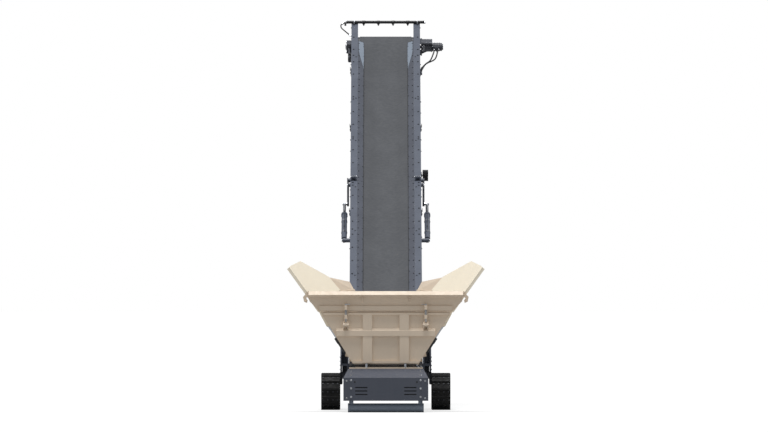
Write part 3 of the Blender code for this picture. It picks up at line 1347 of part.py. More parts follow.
def chassis_frame():
    """Two rails, three cross beams, the towers that carry the conveyor and the luff cylinders' feet."""
    shapes = []
    for y in TRACK_SADDLES:
        half = SADDLE_X - GAP
        height = (CHASSIS_BOTTOM - 0.13, CHASSIS_TOP - 0.02)
        shapes.append(box_tube("x", (y - 0.16, y + 0.16), height, -half, half, 0.014))
    foot_y, foot_z = LUFF_FOOT
    foot_beam = (CHASSIS_BOTTOM + 0.004, CHASSIS_TOP - 0.02)
    shapes.append(block((-0.60, 0.60), (foot_y - 0.10, foot_y + 0.10), foot_beam))
    pivot_y, pivot_z = LUFF_PIVOT.y, LUFF_PIVOT.z
    tower = [
        (pivot_y - 0.45, CHASSIS_BOTTOM),
        (pivot_y + 0.40, CHASSIS_BOTTOM),
        (pivot_y + 0.40, CHASSIS_TOP + 0.15),
        (pivot_y + 0.12, pivot_z),
        (pivot_y + 0.07, pivot_z + 0.10),
        (pivot_y - 0.07, pivot_z + 0.10),
        (pivot_y - 0.12, pivot_z),
        (pivot_y - 0.45, CHASSIS_TOP + 0.15),
    ]
    side = [
        rail_beam(TRACK_SADDLES[0] - 0.3, foot_y + 0.15),
        prism(tower, "x", TOWER_X[0], TOWER_X[0] + TOWER_PLATE),
        prism(tower, "x", TOWER_X[1] - TOWER_PLATE, TOWER_X[1]),
        block(
            (TOWER_X[0] + 0.01, TOWER_X[1] - 0.01),
            (pivot_y - 0.06, pivot_y + 0.06),
            (CHASSIS_TOP - 0.02, pivot_z - 0.12),
        ),
        block(
            (0.50, TOWER_X[1] - 0.004),
            (pivot_y - 0.444, pivot_y + 0.394),
            (CHASSIS_TOP - 0.05, CHASSIS_TOP - 0.004),
        ),
    ]
    for low in (LUFF_CYLINDER_X - LUFF_EAR_GAP - 0.025, LUFF_CYLINDER_X + LUFF_EAR_GAP):
        ear = [
            (foot_y - 0.09, CHASSIS_TOP - 0.03),
            (foot_y + 0.09, CHASSIS_TOP - 0.03),
            (foot_y + 0.05, foot_z + 0.05),
            (foot_y - 0.05, foot_z + 0.05),
        ]
        side.append(prism(ear, "x", low, low + 0.025))
    side.append(
        bar((LUFF_CYLINDER_X - 0.065, foot_y, foot_z), (LUFF_CYLINDER_X + 0.065, foot_y, foot_z), 0.03, 12)
    )
    hole_x = (TOWER_X[0] - 0.05, TOWER_X[1] + 0.05)
    hole = bore((hole_x[0], pivot_y, pivot_z), (hole_x[1], pivot_y, pivot_z), LUFF_PIN_RADIUS, 24)
    piece("chassis_frame", GROUND, "dark_steel", [*shapes, *both(side)], both([hole]))


DOOR_AXIS_X = CANOPY_HALF + DOOR
DOOR_AXIS_Y = CANOPY_Y[1] - 0.04
BUTTON_AT = (0.30, 5.70, 1.45)


def power_pack():
    """The engine canopy under the conveyor, its doors, and what stands inside it."""
    low = CHASSIS_TOP + GAP
    outer = block((-CANOPY_HALF, CANOPY_HALF), CANOPY_Y, (low, CANOPY_TOP))
    wall = 0.014
    hollow = block(
        (-CANOPY_HALF - 0.1, CANOPY_HALF + 0.1),
        (CANOPY_Y[0] + 0.06, CANOPY_Y[1] - 0.06),
        (low + 0.06, CANOPY_TOP - 0.08),
    )
    inner = block(
        (-CANOPY_HALF + wall, CANOPY_HALF - wall),
        (CANOPY_Y[0] + wall, CANOPY_Y[1] - wall),
        (low + wall, CANOPY_TOP - wall),
    )
    grille = []
    for i in range(6):
        z = low + 0.2 + 0.09 * i
        grille.append(block((-0.45, 0.45), (CANOPY_Y[1] - 0.08, CANOPY_Y[1] + 0.05), (z, z + 0.04)))
    piece("engine_canopy", GROUND, "frame_paint", [outer], [hollow, inner, *grille])
    floor = low + wall + GAP
    engine = [
        block((-0.21, 0.21), (6.45, 7.15), (floor, floor + 0.38)),
        block((-0.14, 0.14), (6.50, 7.05), (floor + 0.37, floor + 0.58)),
        bar((0, 7.1, floor + 0.27), (0, 7.30, floor + 0.27), 0.20, 20),
        bar((0.18, 6.55, floor + 0.46), (0.18, 6.95, floor + 0.46), 0.07, 12),
    ]
    piece("diesel_engine", GROUND, "dark_steel", engine)
    tank = block((-0.32, 0.42), (6.05, 6.25), (floor, floor + 0.45))
    filler = bar((0.3, 6.15, floor + 0.4), (0.3, 6.15, floor + 0.52), 0.05, 12)
    piece("hydraulic_tank", GROUND, "frame_paint", [tank, filler])
    for left, hand in ((False, "right"), (True, "left")):
        x = (CANOPY_HALF + GAP, CANOPY_HALF + DOOR)
        panel = block(x, (CANOPY_Y[0] + 0.04, CANOPY_Y[1] - 0.04), (low + 0.05, CANOPY_TOP - 0.05))
        handle = block((x[1] - 0.004, x[1] + 0.02), (CANOPY_Y[0] + 0.10, CANOPY_Y[0] + 0.14), (1.28, 1.42))
        hinges = [
            bar((DOOR_AXIS_X, DOOR_AXIS_Y, z), (DOOR_AXIS_X, DOOR_AXIS_Y, z + 0.08), 0.012, 10)
            for z in (1.05, 1.55)
        ]
        door = f"canopy_door_{hand}"
        piece(door, PIVOTS[door], "frame_paint", [panel, handle, *hinges], left=left)


def control_cabinet():
    """The control box on the canopy's feed-end face, with its emergency-stop button."""
    x, y, z = BUTTON_AT
    box_y = (5.75, CANOPY_Y[0] - GAP)
    cabinet = block((-0.10, 0.45), box_y, (1.02, 1.60))
    lid = block((-0.08, 0.43), (5.742, 5.76), (1.05, 1.38))
    hole = bore((x, 5.70, z), (x, 5.80, z), 0.012)
    piece("control_cabinet", GROUND, "dark_steel", [cabinet, lid], [hole])
    stem = bar((x, 5.715, z), (x, 5.79, z), 0.012, 12)
    cap = bar((x, 5.70, z), (x, 5.725, z), 0.03, 20)
    piece("emergency_stop_button", PIVOTS["emergency_stop"], "signal_red", [cap, stem])


# ---- the model -----------------------------------------------------------------------------------------

clear_scene()
PARTS = collection("tracked_stacker_conveyor")
MATERIALS = {name: principled(name, *values) for name, values in FINISHES.items()}

GROUND = pivot("ground", (0, 0, 0))
LUFF = pivot("luff_axis", LUFF_PIVOT, TILT, GROUND)
FOLD = pivot("fold_axis", on_belt_line(0, *FOLD_AXIS), TILT, LUFF)
TAIL_DRUM = pivot("tail_drum_axis", on_belt_line(0, 0, 0), TILT, LUFF)
HEAD_DRUM = pivot("head_drum_axis", on_belt_line(0, DRUM_SPACING, 0), TILT, FOLD)
FLAP = pivot("flap_axis", (0, 0, FLAP_PIVOT_Z), parent=LUFF)
LAMP = pivot("lamp_axis", on_belt_line(FRAME_HALF + 0.05, 11.35, 0.10), TILT, FOLD)

PIVOTS = {"emergency_stop": pivot("emergency_stop_axis", BUTTON_AT, parent=GROUND)}
for is_left, side_name in ((False, "right"), (True, "left")):
    turning = {
        f"fold_rocker_{side_name}": (on_belt_line(0, *fold_point(ROCKER_PIVOT)), TILT, LUFF),
        f"fold_link_{side_name}": (on_belt_line(0, *fold_point(LINK_PIVOT)), TILT, FOLD),
        f"fold_barrel_{side_name}": (on_belt_line(0, *fold_point(FOLD_FOOT)), TILT, LUFF),
        f"luff_barrel_{side_name}": (Vector((0, *LUFF_FOOT)), None, GROUND),
        f"hopper_wing_{side_name}": (WING_ORIGIN, WING.to_3x3().to_4x4(), LUFF),
        f"wing_barrel_{side_name}": (
            WALL @ Vector((WING_FOOT[0], WING_CYLINDER_Y, WING_FOOT[1])),
            WALL.to_3x3().to_4x4(),
            LUFF,
        ),
        f"flap_lock_{side_name}": (Vector((FLAP_STRAP_X, LOCK_PIN_Y, 2.0)), None, FLAP),
        f"track_idler_{side_name}": (Vector((TRACK_CENTRE_X, IDLER_Y, WHEEL_Z)), None, GROUND),
        f"track_sprocket_{side_name}": (Vector((TRACK_CENTRE_X, SPROCKET_Y, WHEEL_Z)), None, GROUND),
        f"canopy_door_{side_name}": (Vector((DOOR_AXIS_X, DOOR_AXIS_Y, 1.3)), None, GROUND),
    }
    for key, (place_at, turned_by, carried_by) in turning.items():
        PIVOTS[key] = pivot(f"{key}_axis", place_at, turned_by, carried_by, left=is_left)
    for kind, at in (
        ("fold_rod", on_belt_line(0, *fold_point(LINKAGE_PIN))),
        ("luff_rod", Vector((0, *luff_head_point()))),
        ("wing_rod", WALL @ Vector((WING_EYE[0], WING_CYLINDER_Y, WING_EYE[1]))),
    ):
        key = f"{kind}_{side_name}"
        barrel_axis = PIVOTS[key.replace("_rod", "_barrel")]
        PIVOTS[key] = pivot(f"{key}_axis", at, parent=barrel_axis, left=is_left)

main_boom_frame()
head_boom_frame()
belts_drums_skirts()
hopper_body()
feed_flap()
tail_guard()
tail_skid()
hopper_hose_bundle()
spray_bar()
head_bearing()
drive_motor()
work_lamp()
drive_hoses()
chassis_frame()
power_pack()
control_cabinet()
for is_left, side_name in ((False, "right"), (True, "left")):
    fold_linkage(is_left, side_name)
    luff_cylinder(is_left, side_name)
    hopper_wing(is_left, side_name)
    wing_cylinder(is_left, side_name)
    flap_lock(is_left, side_name)
    tracks(is_left, side_name)
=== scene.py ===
"""The looks of the tracked stockpiling conveyor: materials, fasteners, rollers, hoses, lines and a studio.

Shapes are drawn in ground coordinates, as in the CAD source: metres, y from the tail drum's axis, or on the
belt line, a frame that starts at the tail drum's centre and leans back by the belt angle.
"""

from math import cos, pi, radians, sin, tan

import bmesh
import bpy
from mathutils import Matrix, Vector


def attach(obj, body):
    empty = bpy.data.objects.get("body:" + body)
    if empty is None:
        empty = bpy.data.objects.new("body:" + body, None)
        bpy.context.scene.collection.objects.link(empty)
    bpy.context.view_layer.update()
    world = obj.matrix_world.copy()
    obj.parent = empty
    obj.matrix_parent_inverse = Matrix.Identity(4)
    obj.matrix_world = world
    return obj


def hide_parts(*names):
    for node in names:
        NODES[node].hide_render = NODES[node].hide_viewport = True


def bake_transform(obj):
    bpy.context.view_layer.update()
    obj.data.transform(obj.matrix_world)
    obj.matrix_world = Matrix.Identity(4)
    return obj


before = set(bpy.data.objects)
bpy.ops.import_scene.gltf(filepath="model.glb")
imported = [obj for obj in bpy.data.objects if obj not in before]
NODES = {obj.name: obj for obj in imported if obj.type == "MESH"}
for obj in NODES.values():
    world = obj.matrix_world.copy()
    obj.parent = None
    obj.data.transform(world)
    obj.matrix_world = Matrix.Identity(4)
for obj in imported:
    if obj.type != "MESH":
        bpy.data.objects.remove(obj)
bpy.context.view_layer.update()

# Sizes repeated from the CAD source. On the belt line u is the distance from the tail drum and w the height.
BELT_ANGLE = radians(20.5)
TAIL_DRUM_HEIGHT = 0.52
GUARD_FRONT = -0.47
HEAD_END_U = 19.98
HEAD_END_DROP = 0.06
HEAD_END_Y = HEAD_END_U * cos(BELT_ANGLE) + HEAD_END_DROP * sin(BELT_ANGLE)
SITE_Y = -(GUARD_FRONT + HEAD_END_Y) / 2
SITE = Matrix.Translation((0, SITE_Y, 0))
TAIL_DRUM = SITE @ Matrix.Translation((0, 0, TAIL_DRUM_HEIGHT))
BELT_LINE = TAIL_DRUM @ Matrix.Rotation(BELT_ANGLE, 4, "X")
DRUM_SPACING = 19.3
DRUM_RADIUS = 0.20
FRAME_HALF = 0.70
FLANGE_TOP = 0.28
FLANGE_WIDTH = 0.135
FOLD_U = 10.6
FOLD_W = 0.34
ROCKER_FOOT = (FOLD_U - 0.126, FOLD_W - 0.121)
FOLD_BARREL_FOOT = (FOLD_U - 3.063, FOLD_W - 0.202)
FOLD_ROD_EYE = (FOLD_U - 0.31, FOLD_W - 0.451)
BELT_WIDTH = 1.05
BELT_FLAT = 0.38
BELT_THICKNESS = 0.012
TROUGH_ANGLE = radians(20)
TROUGH_FLOOR = 0.10
TROUGH_RUN = 1.5

# ---- camera ----

LENS = 600.0
CAMERA_AT = Vector((-0.035, -252.4, 2.4))
CAMERA_TARGET = Vector((-0.035, -3.39, 3.76))

camera_data = bpy.data.cameras.new("camera")
camera_data.lens = LENS
camera_data.sensor_width = 36.0
camera_data.clip_start = 10.0
camera_data.clip_end = 2000.0
camera = bpy.data.objects.new("camera", camera_data)
camera.location = CAMERA_AT
camera.rotation_euler = (CAMERA_TARGET - CAMERA_AT).to_track_quat("-Z", "Y").to_euler()
bpy.context.scene.collection.objects.link(camera)
bpy.context.scene.camera = camera


# ---- materials ----


def linear(red, green, blue):
    """A colour given as 0 to 255 sRGB, as the shader wants it."""
    made = []
    for value in (red, green, blue):
        share = value / 255
        made.append(share / 12.92 if share <= 0.04045 else ((share + 0.055) / 1.055) ** 2.4)
    return (*made, 1.0)


def add_node(tree, kind, inputs=(), **values):
    """A new node in a tree, with these input values and settings."""
    node = tree.nodes.new(kind)
    for key, value in values.items():
        setattr(node, key, value)
    for key, value in dict(inputs).items():
        node.inputs[key].default_value = value
    return node


class Nodes:
    """A material's nodes, with short calls that add one and link it."""

    def __init__(self, name):
        self.material = bpy.data.materials.new(name)
        self.material.use_nodes = True
        self.tree = self.material.node_tree
        self.shader = self.tree.nodes["Principled BSDF"]
        self.place = self.add("ShaderNodeTexCoord").outputs["Object"]

    def add(self, kind, inputs=(), **values):
        return add_node(self.tree, kind, inputs, **values)

    def link(self, source, target):
        self.tree.links.new(source, target)

    def noise(self, scale, detail=6.0, stretch=None):
        node = self.add("ShaderNodeTexNoise", {"Scale": scale, "Detail": detail})
        where = self.place
        if stretch:
            mapping = self.add("ShaderNodeMapping", {"Scale": stretch})
            self.link(where, mapping.inputs["Vector"])
            where = mapping.outputs["Vector"]
        self.link(where, node.inputs["Vector"])
        return node.outputs["Fac"]

    def spread(self, value, low, high, to_low=0.0, to_high=1.0):
        ends = {"From Min": low, "From Max": high, "To Min": to_low, "To Max": to_high}
        node = self.add("ShaderNodeMapRange", ends)
        self.link(value, node.inputs["Value"])
        return node.outputs["Result"]

    def mix(self, factor, first, second):
        node = self.add("ShaderNodeMix", data_type="RGBA")
        for socket, value in ((node.inputs[6], first), (node.inputs[7], second)):
            if isinstance(value, tuple):
                socket.default_value = value
            else:
                self.link(value, socket)
        self.link(factor, node.inputs[0])
        return node.outputs[2]

    def multiply(self, first, second):
        node = self.add("ShaderNodeMath", operation="MULTIPLY")
        self.link(first, node.inputs[0])
        if isinstance(second, float):
            node.inputs[1].default_value = second
        else:
            self.link(second, node.inputs[1])
        return node.outputs[0]

    def bump(self, height, strength, distance):
        node = self.add("ShaderNodeBump", {"Strength": strength, "Distance": distance})
        self.link(height, node.inputs["Height"])
        self.link(node.outputs["Normal"], self.shader.inputs["Normal"])

    def edges(self, radius=0.008):
        """Strong where the surface has an edge, from its rounded normal against its own."""
        rounded = self.add("ShaderNodeBevel", {"Radius": radius}, samples=3)
        geometry = self.add("ShaderNodeNewGeometry")
        product = self.add("ShaderNodeVectorMath", operation="DOT_PRODUCT")
        self.link(rounded.outputs["Normal"], product.inputs[0])
        self.link(geometry.outputs["Normal"], product.inputs[1])
        return self.spread(product.outputs["Value"], 0.96, 0.82)

    def colour(self, source):
        self.link(source, self.shader.inputs["Base Color"])

    def roughness(self, pattern, low, high):
        self.link(self.spread(pattern, 0.3, 0.7, low, high), self.shader.inputs["Roughness"])


def paint(name, colour, dusty, worn, rough=0.5, wear=0.55, dust=0.5):
    """Machine paint: a slightly uneven coat, dust in broad patches, fine orange peel and worn edges."""
    nodes = Nodes(name)
    colour, dusty, worn = linear(*colour), linear(*dusty), linear(*worn)
    broad = nodes.spread(nodes.noise(1.3), 0.42, 0.68, 0.0, dust)
    streak = nodes.spread(nodes.noise(2.0, stretch=(6.0, 6.0, 0.6)), 0.5, 0.75, 0.0, dust * 0.6)
    coat = nodes.mix(broad, colour, dusty)
    coat = nodes.mix(streak, coat, dusty)
    chips = nodes.multiply(nodes.edges(), nodes.spread(nodes.noise(38.0), 0.45, 0.62, 0.0, wear))
    coat = nodes.mix(chips, coat, worn)
    nodes.colour(coat)
    nodes.roughness(nodes.noise(9.0), rough - 0.07, rough + 0.12)
    nodes.bump(nodes.noise(260.0, 3.0), 0.04, 0.0002)
    return nodes.material


def rubber(name, colour, pale, rough, grain, stretch=None, dust=0.6):
    """Rubber or moulded plastic: pale scuffs or dust over a fine grain."""
    nodes = Nodes(name)
    worn = nodes.spread(nodes.noise(3.0, 8.0, stretch), 0.4, 0.72, 0.0, dust)
    nodes.colour(nodes.mix(worn, linear(*colour), linear(*pale)))
    nodes.roughness(nodes.noise(14.0), rough - 0.1, rough + 0.12)
    nodes.bump(nodes.noise(grain, 4.0), 0.15, 0.0005)
    return nodes.material


def metal(name, colour, stained, rough):
    """Bare or plated steel, brushed one way, with faint stains."""
    nodes = Nodes(name)
    nodes.shader.inputs["Metallic"].default_value = 1.0
    stain = nodes.spread(nodes.noise(11.0), 0.5, 0.72, 0.0, 0.7)
    nodes.colour(nodes.mix(stain, linear(*colour), linear(*stained)))
    brushed = nodes.noise(6.0, 4.0, (4.0, 90.0, 90.0))
    nodes.roughness(brushed, rough - 0.08, rough + 0.14)
    nodes.bump(brushed, 0.06, 0.0004)
    return nodes.material


FRAME = paint("frame_grey", (80, 86, 99), (93, 99, 112), (52, 54, 60), dust=0.45)
# The skirts are frame paint in a darker copy: painted shade for the steep plates between the flange and the
# belt.
SHADED_SKIRT_GREY = paint("skirt_grey_painted_shade", (68, 72, 83), (82, 87, 99), (52, 54, 60), wear=0.5)
GUARD = paint("guard_grey", (74, 79, 91), (84, 88, 98), (46, 48, 52), dust=0.4)
CREAM = paint("hopper_cream", (228, 210, 188), (218, 201, 180), (160, 148, 134), wear=0.3)
# The wings take a lighter copy of the hopper cream: painted light for their brightly lit inner faces.
LIT_CREAM = paint("wing_cream_painted_light", (253, 243, 222), (247, 236, 215), (190, 178, 160), wear=0.25, dust=0.35)
DARK = paint("dark_steel", (50, 54, 62), (72, 75, 82), (96, 96, 98), wear=0.5)
BLACK = paint("black_paint", (24, 25, 28), (48, 49, 52), (84, 84, 86), 0.42, wear=0.4)
RED = paint("signal_red", (190, 28, 24), (150, 40, 34), (120, 30, 26), 0.35, wear=0.3)
# Pale grey for the head liners. The tail skid, which is really frame paint, takes it too as painted light.
LINER_AND_LIT_GREY = paint("liner_and_lit_skid_grey", (122, 133, 147), (134, 144, 157), (84, 88, 94), wear=0.4)
DRIVE = paint("drive_grey", (74, 77, 84), (88, 91, 98), (120, 121, 124), wear=0.5)
BELT = rubber("belt_rubber", (74, 76, 80), (84, 86, 90), 0.82, 120.0, (1.0, 0.15, 1.0))
TRACK = rubber("track_rubber", (15, 15, 16), (36, 36, 35), 0.78, 150.0, dust=0.4)
HOSE = rubber("hose_rubber", (22, 23, 25), (44, 45, 48), 0.55, 320.0, dust=0.4)
STEEL = metal("bright_steel", (200, 203, 208), (150, 148, 144), 0.22)
ZINC = metal("zinc_steel", (190, 193, 198), (140, 138, 134), 0.36)
SEAL = rubber("seal_rubber", (38, 39, 42), (66, 67, 70), 0.7, 200.0)
LENS_GLASS = rubber("lamp_lens", (214, 218, 220), (190, 194, 198), 0.2, 60.0)

# The record's slot that a detail in each finish belongs to.
SLOT_OF = {
    **dict.fromkeys((DARK, BLACK), "dark_steel"),
    **dict.fromkeys((ZINC, LENS_GLASS), "bright_steel"),
    **dict.fromkeys((HOSE, SEAL), "hose_rubber"),
    **dict.fromkeys((CREAM, LIT_CREAM), "hopper_paint"),
    **dict.fromkeys((LINER_AND_LIT_GREY, FRAME), "frame_paint"),
}
# The CAD nodes of each finish, without their hand.
NODES_WITH = (
    (BELT, "belt_head_section belt_tail_section"),
    (GUARD, "canopy_door chassis_frame tail_guard"),
    (BLACK, "control_cabinet lamp_bracket spray_bar wing_barrel work_lamp"),
    (
        DARK,
        "diesel_engine fold_link fold_rocker head_drum tail_drum track_frame track_idler "
        "track_sprocket",
    ),
    (HOSE, "drive_hose"),
    (DRIVE, "drive_motor head_bearing"),
    (RED, "emergency_stop_button"),
    (FRAME, "engine_canopy fold_barrel head_boom_frame hydraulic_tank luff_barrel main_boom_frame"),
    (CREAM, "feed_flap hopper_body hopper_hose_rail"),
    (ZINC, "flap_lock_pin"),
    (STEEL, "fold_rod luff_rod wing_rod"),
    (LIT_CREAM, "hopper_wing"),
    (SHADED_SKIRT_GREY, "skirt_head skirt_tail"),
    # The skid's paler grey is painted light, lighter than the frame paint it really has.
    (LINER_AND_LIT_GREY, "tail_skid"),
    (TRACK, "track_chain"),
)
FINISH_OF = {node: finish for finish, names in NODES_WITH for node in names.split()}


def finish_for(node):
    """The material of a node, by its name or by its name without the hand."""
    stem = node
    for hand in ("_right", "_left", "_inner", "_outer"):
        stem = stem.removesuffix(hand)
    return FINISH_OF[stem]


for node_name, node_object in NODES.items():
    for material_slot in node_object.material_slots:
        material_slot.link = "OBJECT"
        material_slot.material = finish_for(node_name)


# ---- shapes ----


def aimed(start, end):
    """The transform from a shape along Z about its middle to one between two points."""
    start, end = Vector(start), Vector(end)
    turn = (end - start).to_track_quat("Z", "Y").to_matrix().to_4x4()
    return Matrix.Translation((start + end) / 2) @ turn


HANDS = ((False, "right"), (True, "left"))
SIDES = (-1, 1)
RIGHT, LEFT, FRONT, UP = (1, 0, 0), (-1, 0, 0), (0, -1, 0), (0, 0, 1)
SLAB_AXES = {
    "x": lambda a, b, depth: (depth, a, b),
    "y": lambda a, b, depth: (a, depth, b),
}
SMOOTH_BELOW = radians(32)
BEVEL_ABOVE = radians(40)
MIRROR = Matrix.Diagonal((-1, 1, 1, 1))


def circle(count, turn=0.0):
    """The cosine and sine of each of count angles round a circle, the first one turn steps on."""
    angles = (2 * pi * (i + turn) / count for i in range(count))
    return [(cos(angle), sin(angle)) for angle in angles]


def object_of(name, data, material):
    """A new object with this mesh or curve and material, in the scene."""
    data.materials.append(material)
    made = bpy.data.objects.new(name, data)
    bpy.context.scene.collection.objects.link(made)
    return made


class Shape:
    """A mesh built up from solids in one frame of its own."""

    def __init__(self, place=SITE):
        self.mesh = bmesh.new()
        self.place = place

    def box(self, x, y, z):
        """A box between its low and high x, y and z."""
        size = (x[1] - x[0], y[1] - y[0], z[1] - z[0])
        middle = Vector((x[0] + x[1], y[0] + y[1], z[0] + z[1])) / 2
        spot = Matrix.Translation(middle) @ Matrix.Diagonal((*size, 1.0))
        bmesh.ops.create_cube(self.mesh, size=1.0, matrix=spot)
        return self

    def rod(self, start, end, radius, sides=20, end_radius=None):
        """A straight rod, or a cone where its end has a radius of its own."""
        bmesh.ops.create_cone(
            self.mesh,
            cap_ends=True,
            segments=sides,
            radius1=radius,
            radius2=radius if end_radius is None else end_radius,
            depth=(Vector(end) - Vector(start)).length,
            matrix=aimed(start, end),
        )
        return self

    def turned(self, start, end, profile, sides=28):
        """A lathe-turned solid: its profile is (share of the way along, radius), from start to end."""
        start, end = Vector(start), Vector(end)
        depth = (end - start).length
        spot = aimed(start, end)
        rings = []
        for share, radius in profile:
            height = (share - 0.5) * depth
            points = (Vector((radius * c, radius * s, height)) for c, s in circle(sides))
            rings.append([self.mesh.verts.new(spot @ point) for point in points])
        return self.skin(rings)

    def disc(self, at, thickness, profile, sides=28):
        """A lathe-turned solid along X."""
        return self.turned(at, (at[0] + thickness, at[1], at[2]), profile, sides)

    def skin(self, rings):
        """Faces between rings of vertices, and a cap on the first and the last."""
        for before, after in zip(rings, rings[1:]):
            for i in range(len(before)):
                j = (i + 1) % len(before)
                self.mesh.faces.new((before[i], before[j], after[j], after[i]))
        self.mesh.faces.new(rings[0][::-1])
        self.mesh.faces.new(rings[-1])
        return self

    def slab(self, outline, axis, low, high):
        """A flat outline, convex or not, made as thick as low to high along x or y."""
        order = SLAB_AXES[axis]
        bottom = [self.mesh.verts.new(order(a, b, low)) for a, b in outline]
        top = [self.mesh.verts.new(order(a, b, high)) for a, b in outline]
        faces = [self.mesh.faces.new(bottom[::-1]), self.mesh.faces.new(top)]
        for i in range(len(outline)):
            j = (i + 1) % len(outline)
            faces.append(self.mesh.faces.new((bottom[i], bottom[j], top[j], top[i])))
        bmesh.ops.recalc_face_normals(self.mesh, faces=faces)
        return self

    def bolt(self, at, out, size=0.012):
        """A washer, a hexagon head and the bolt's end, standing on a surface that faces out."""
        at, out = Vector(at), Vector(out).normalized()
        self.rod(at, at + out * 0.25 * size, 1.5 * size, 18)
        self.rod(at + out * 0.25 * size, at + out * 1.0 * size, 1.12 * size, 6)
        self.rod(at + out * 0.98 * size, at + out * 1.12 * size, 0.8 * size, 12, 0.6 * size)
        return self

    def bolt_circle(self, x, y, z, radius, count, size, turn=0.5):
        """Bolts that face +X, round a centre."""
        for c, s in circle(count, turn):
            self.bolt((x, y + radius * c, z + radius * s), RIGHT, size)
        return self

    def pipe(self, points, radius, sides=12):
        """A round pipe along a line of points."""
        points = [Vector(point) for point in points]
        rings = []
        side = None
        for i, point in enumerate(points):
            before, after = points[max(i - 1, 0)], points[min(i + 1, len(points) - 1)]
            lead = (after - before).normalized()
            if side is None:
                side = lead.orthogonal().normalized()
            side = (side - side.dot(lead) * lead).normalized()
            other = lead.cross(side)
            around = (point + radius * (c * side + s * other) for c, s in circle(sides))
            rings.append([self.mesh.verts.new(place) for place in around])
        return self.skin(rings)

    def settle(self):
        """Puts the shape where its frame says, so that its mirror image is taken across the machine."""
        self.mesh.transform(self.place)
        self.place = Matrix.Identity(4)

    def done(self, name, material, body, slot=None, bevel=0.0, hands=False, left=False):
        """The finished piece. With hands it has both hands in one, and with left it is the mirror image."""
        if left:
            self.mesh.transform(MIRROR)
            bmesh.ops.reverse_faces(self.mesh, faces=self.mesh.faces)
        if hands:
            copy = self.mesh.copy()
            copy.transform(MIRROR)
            bmesh.ops.reverse_faces(copy, faces=copy.faces)
            flipped = bpy.data.meshes.new(name)
            copy.to_mesh(flipped)
            self.mesh.from_mesh(flipped)
            copy.free()
        made = self.placed(name, material, SMOOTH_BELOW)
        if bevel:
            rounding = made.modifiers.new("rounding", "BEVEL")
            rounding.width = bevel
            rounding.segments = 2
            rounding.limit_method = "ANGLE"
            rounding.angle_limit = BEVEL_ABOVE
        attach(made, body)
        return made

    def placed(self, name, material, smooth_below):
        """The object with this mesh, where its frame says."""
        self.mesh.transform(self.place)
        data = bpy.data.meshes.new(name)
        self.mesh.to_mesh(data)
        self.mesh.free()
        made = object_of(name, data, material)
        data.shade_smooth()
        data.set_sharp_from_angle(angle=smooth_below)
        return made


def smooth(points, per_span=4):
    """Points on a smooth curve through the given ones."""
    knots = [Vector(point) for point in points]
    knots = [2 * knots[0] - knots[1], *knots, 2 * knots[-1] - knots[-2]]
    made = []
    for before, start, end, after in zip(knots, knots[1:], knots[2:], knots[3:]):
        for i in range(per_span):
            t = i / per_span
            square = (2 * before - 5 * start + 4 * end - after) * t**2
            cube = (3 * start - before - 3 * end + after) * t**3
            made.append(0.5 * (2 * start + (end - before) * t + square + cube))
    made.append(knots[-2])
    return made


# ---- the free hoses of the belt drive ----

HOSE_RADIUS = 0.014
HOSE_STOP_X = 0.722
HOSE_RUNS = (("outer", 1.08, 1.05, 0.03), ("inner", 0.99, 0.80, -0.02))
FERRULE = (
    (0.0, 0.0165),
    (0.08, 0.0195),
    (0.3, 0.0195),
    (0.34, 0.017),
    (0.42, 0.0195),
    (0.9, 0.0195),
    (1.0, 0.0165),
)


def drive_hose(which, port_x, end, lift):
    """A pressure hose from the motor's port to its elbow on the frame, with a crimped fitting at each end."""
    u = DRUM_SPACING
    route = [
        (port_x, u - 0.1405, 0.0),
        (port_x, u - 0.17, 0.0),
        (port_x, u - 0.21, 0.0),
        (port_x - 0.02, u - 0.28, -0.03 + lift),
        (port_x - 0.08, u - 0.3 - 0.3 * end, -0.08 + lift),
        (0.82, u - 0.35 - 0.6 * end, -0.05 + lift),
        (0.738, u - 0.42 - end, lift),
        (HOSE_STOP_X, u - 0.57 - end, lift),
        (HOSE_STOP_X, u - 0.65 - end, lift),
    ]
    line = smooth([BELT_LINE @ Vector(point) for point in route])
    curve = bpy.data.curves.new(f"pressure_hose_{which}", "CURVE")
    curve.dimensions = "3D"
    curve.bevel_depth = HOSE_RADIUS
    curve.bevel_resolution = 5
    curve.use_fill_caps = True
    spline = curve.splines.new("POLY")
    spline.points.add(len(line) - 1)
    for target, point in zip(spline.points, line):
        target.co = (*point, 1.0)
    made = object_of(f"pressure_hose_{which}", curve, HOSE)
    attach(made, "head_boom")
    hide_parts(f"drive_hose_{which}")
    ferrules = Shape(Matrix.Identity(4))
    for tip, inside in ((line[0], line[3]), (line[-1], line[-3])):
        lead = (inside - tip).normalized()
        ferrules.turned(tip + lead * 0.012, tip + lead * 0.062, FERRULE, 20)
        ferrules.rod(tip + lead * 0.001, tip + lead * 0.014, 0.021, 6)
    ends = ferrules.done(f"hose_ferrules_{which}", ZINC, "head_boom")


for run in HOSE_RUNS:
    drive_hose(*run)


# ---- the belt ----


def eased(share):
    """A smooth step from 0 to 1."""
    return share * share * (3 - 2 * share)


def belt_across(trough, steps=10):
    """Half of the belt's section, from its middle to its edge: (x, rise, tilt) of its inner face."""
    half = BELT_WIDTH / 2
    x = rise = 0.0
    made = []
    walk = 60
    bend_width = 0.09
    for i in range(walk + 1):
        share = i / walk
        bend = (share * half - BELT_FLAT / 2 + bend_width / 2) / bend_width
        tilt = trough * TROUGH_ANGLE * eased(min(max(bend, 0.0), 1.0))
        if i % (walk // steps) == 0:
            made.append((x, rise, tilt))
        x += cos(tilt) * half / walk
        rise += sin(tilt) * half / walk
    return made


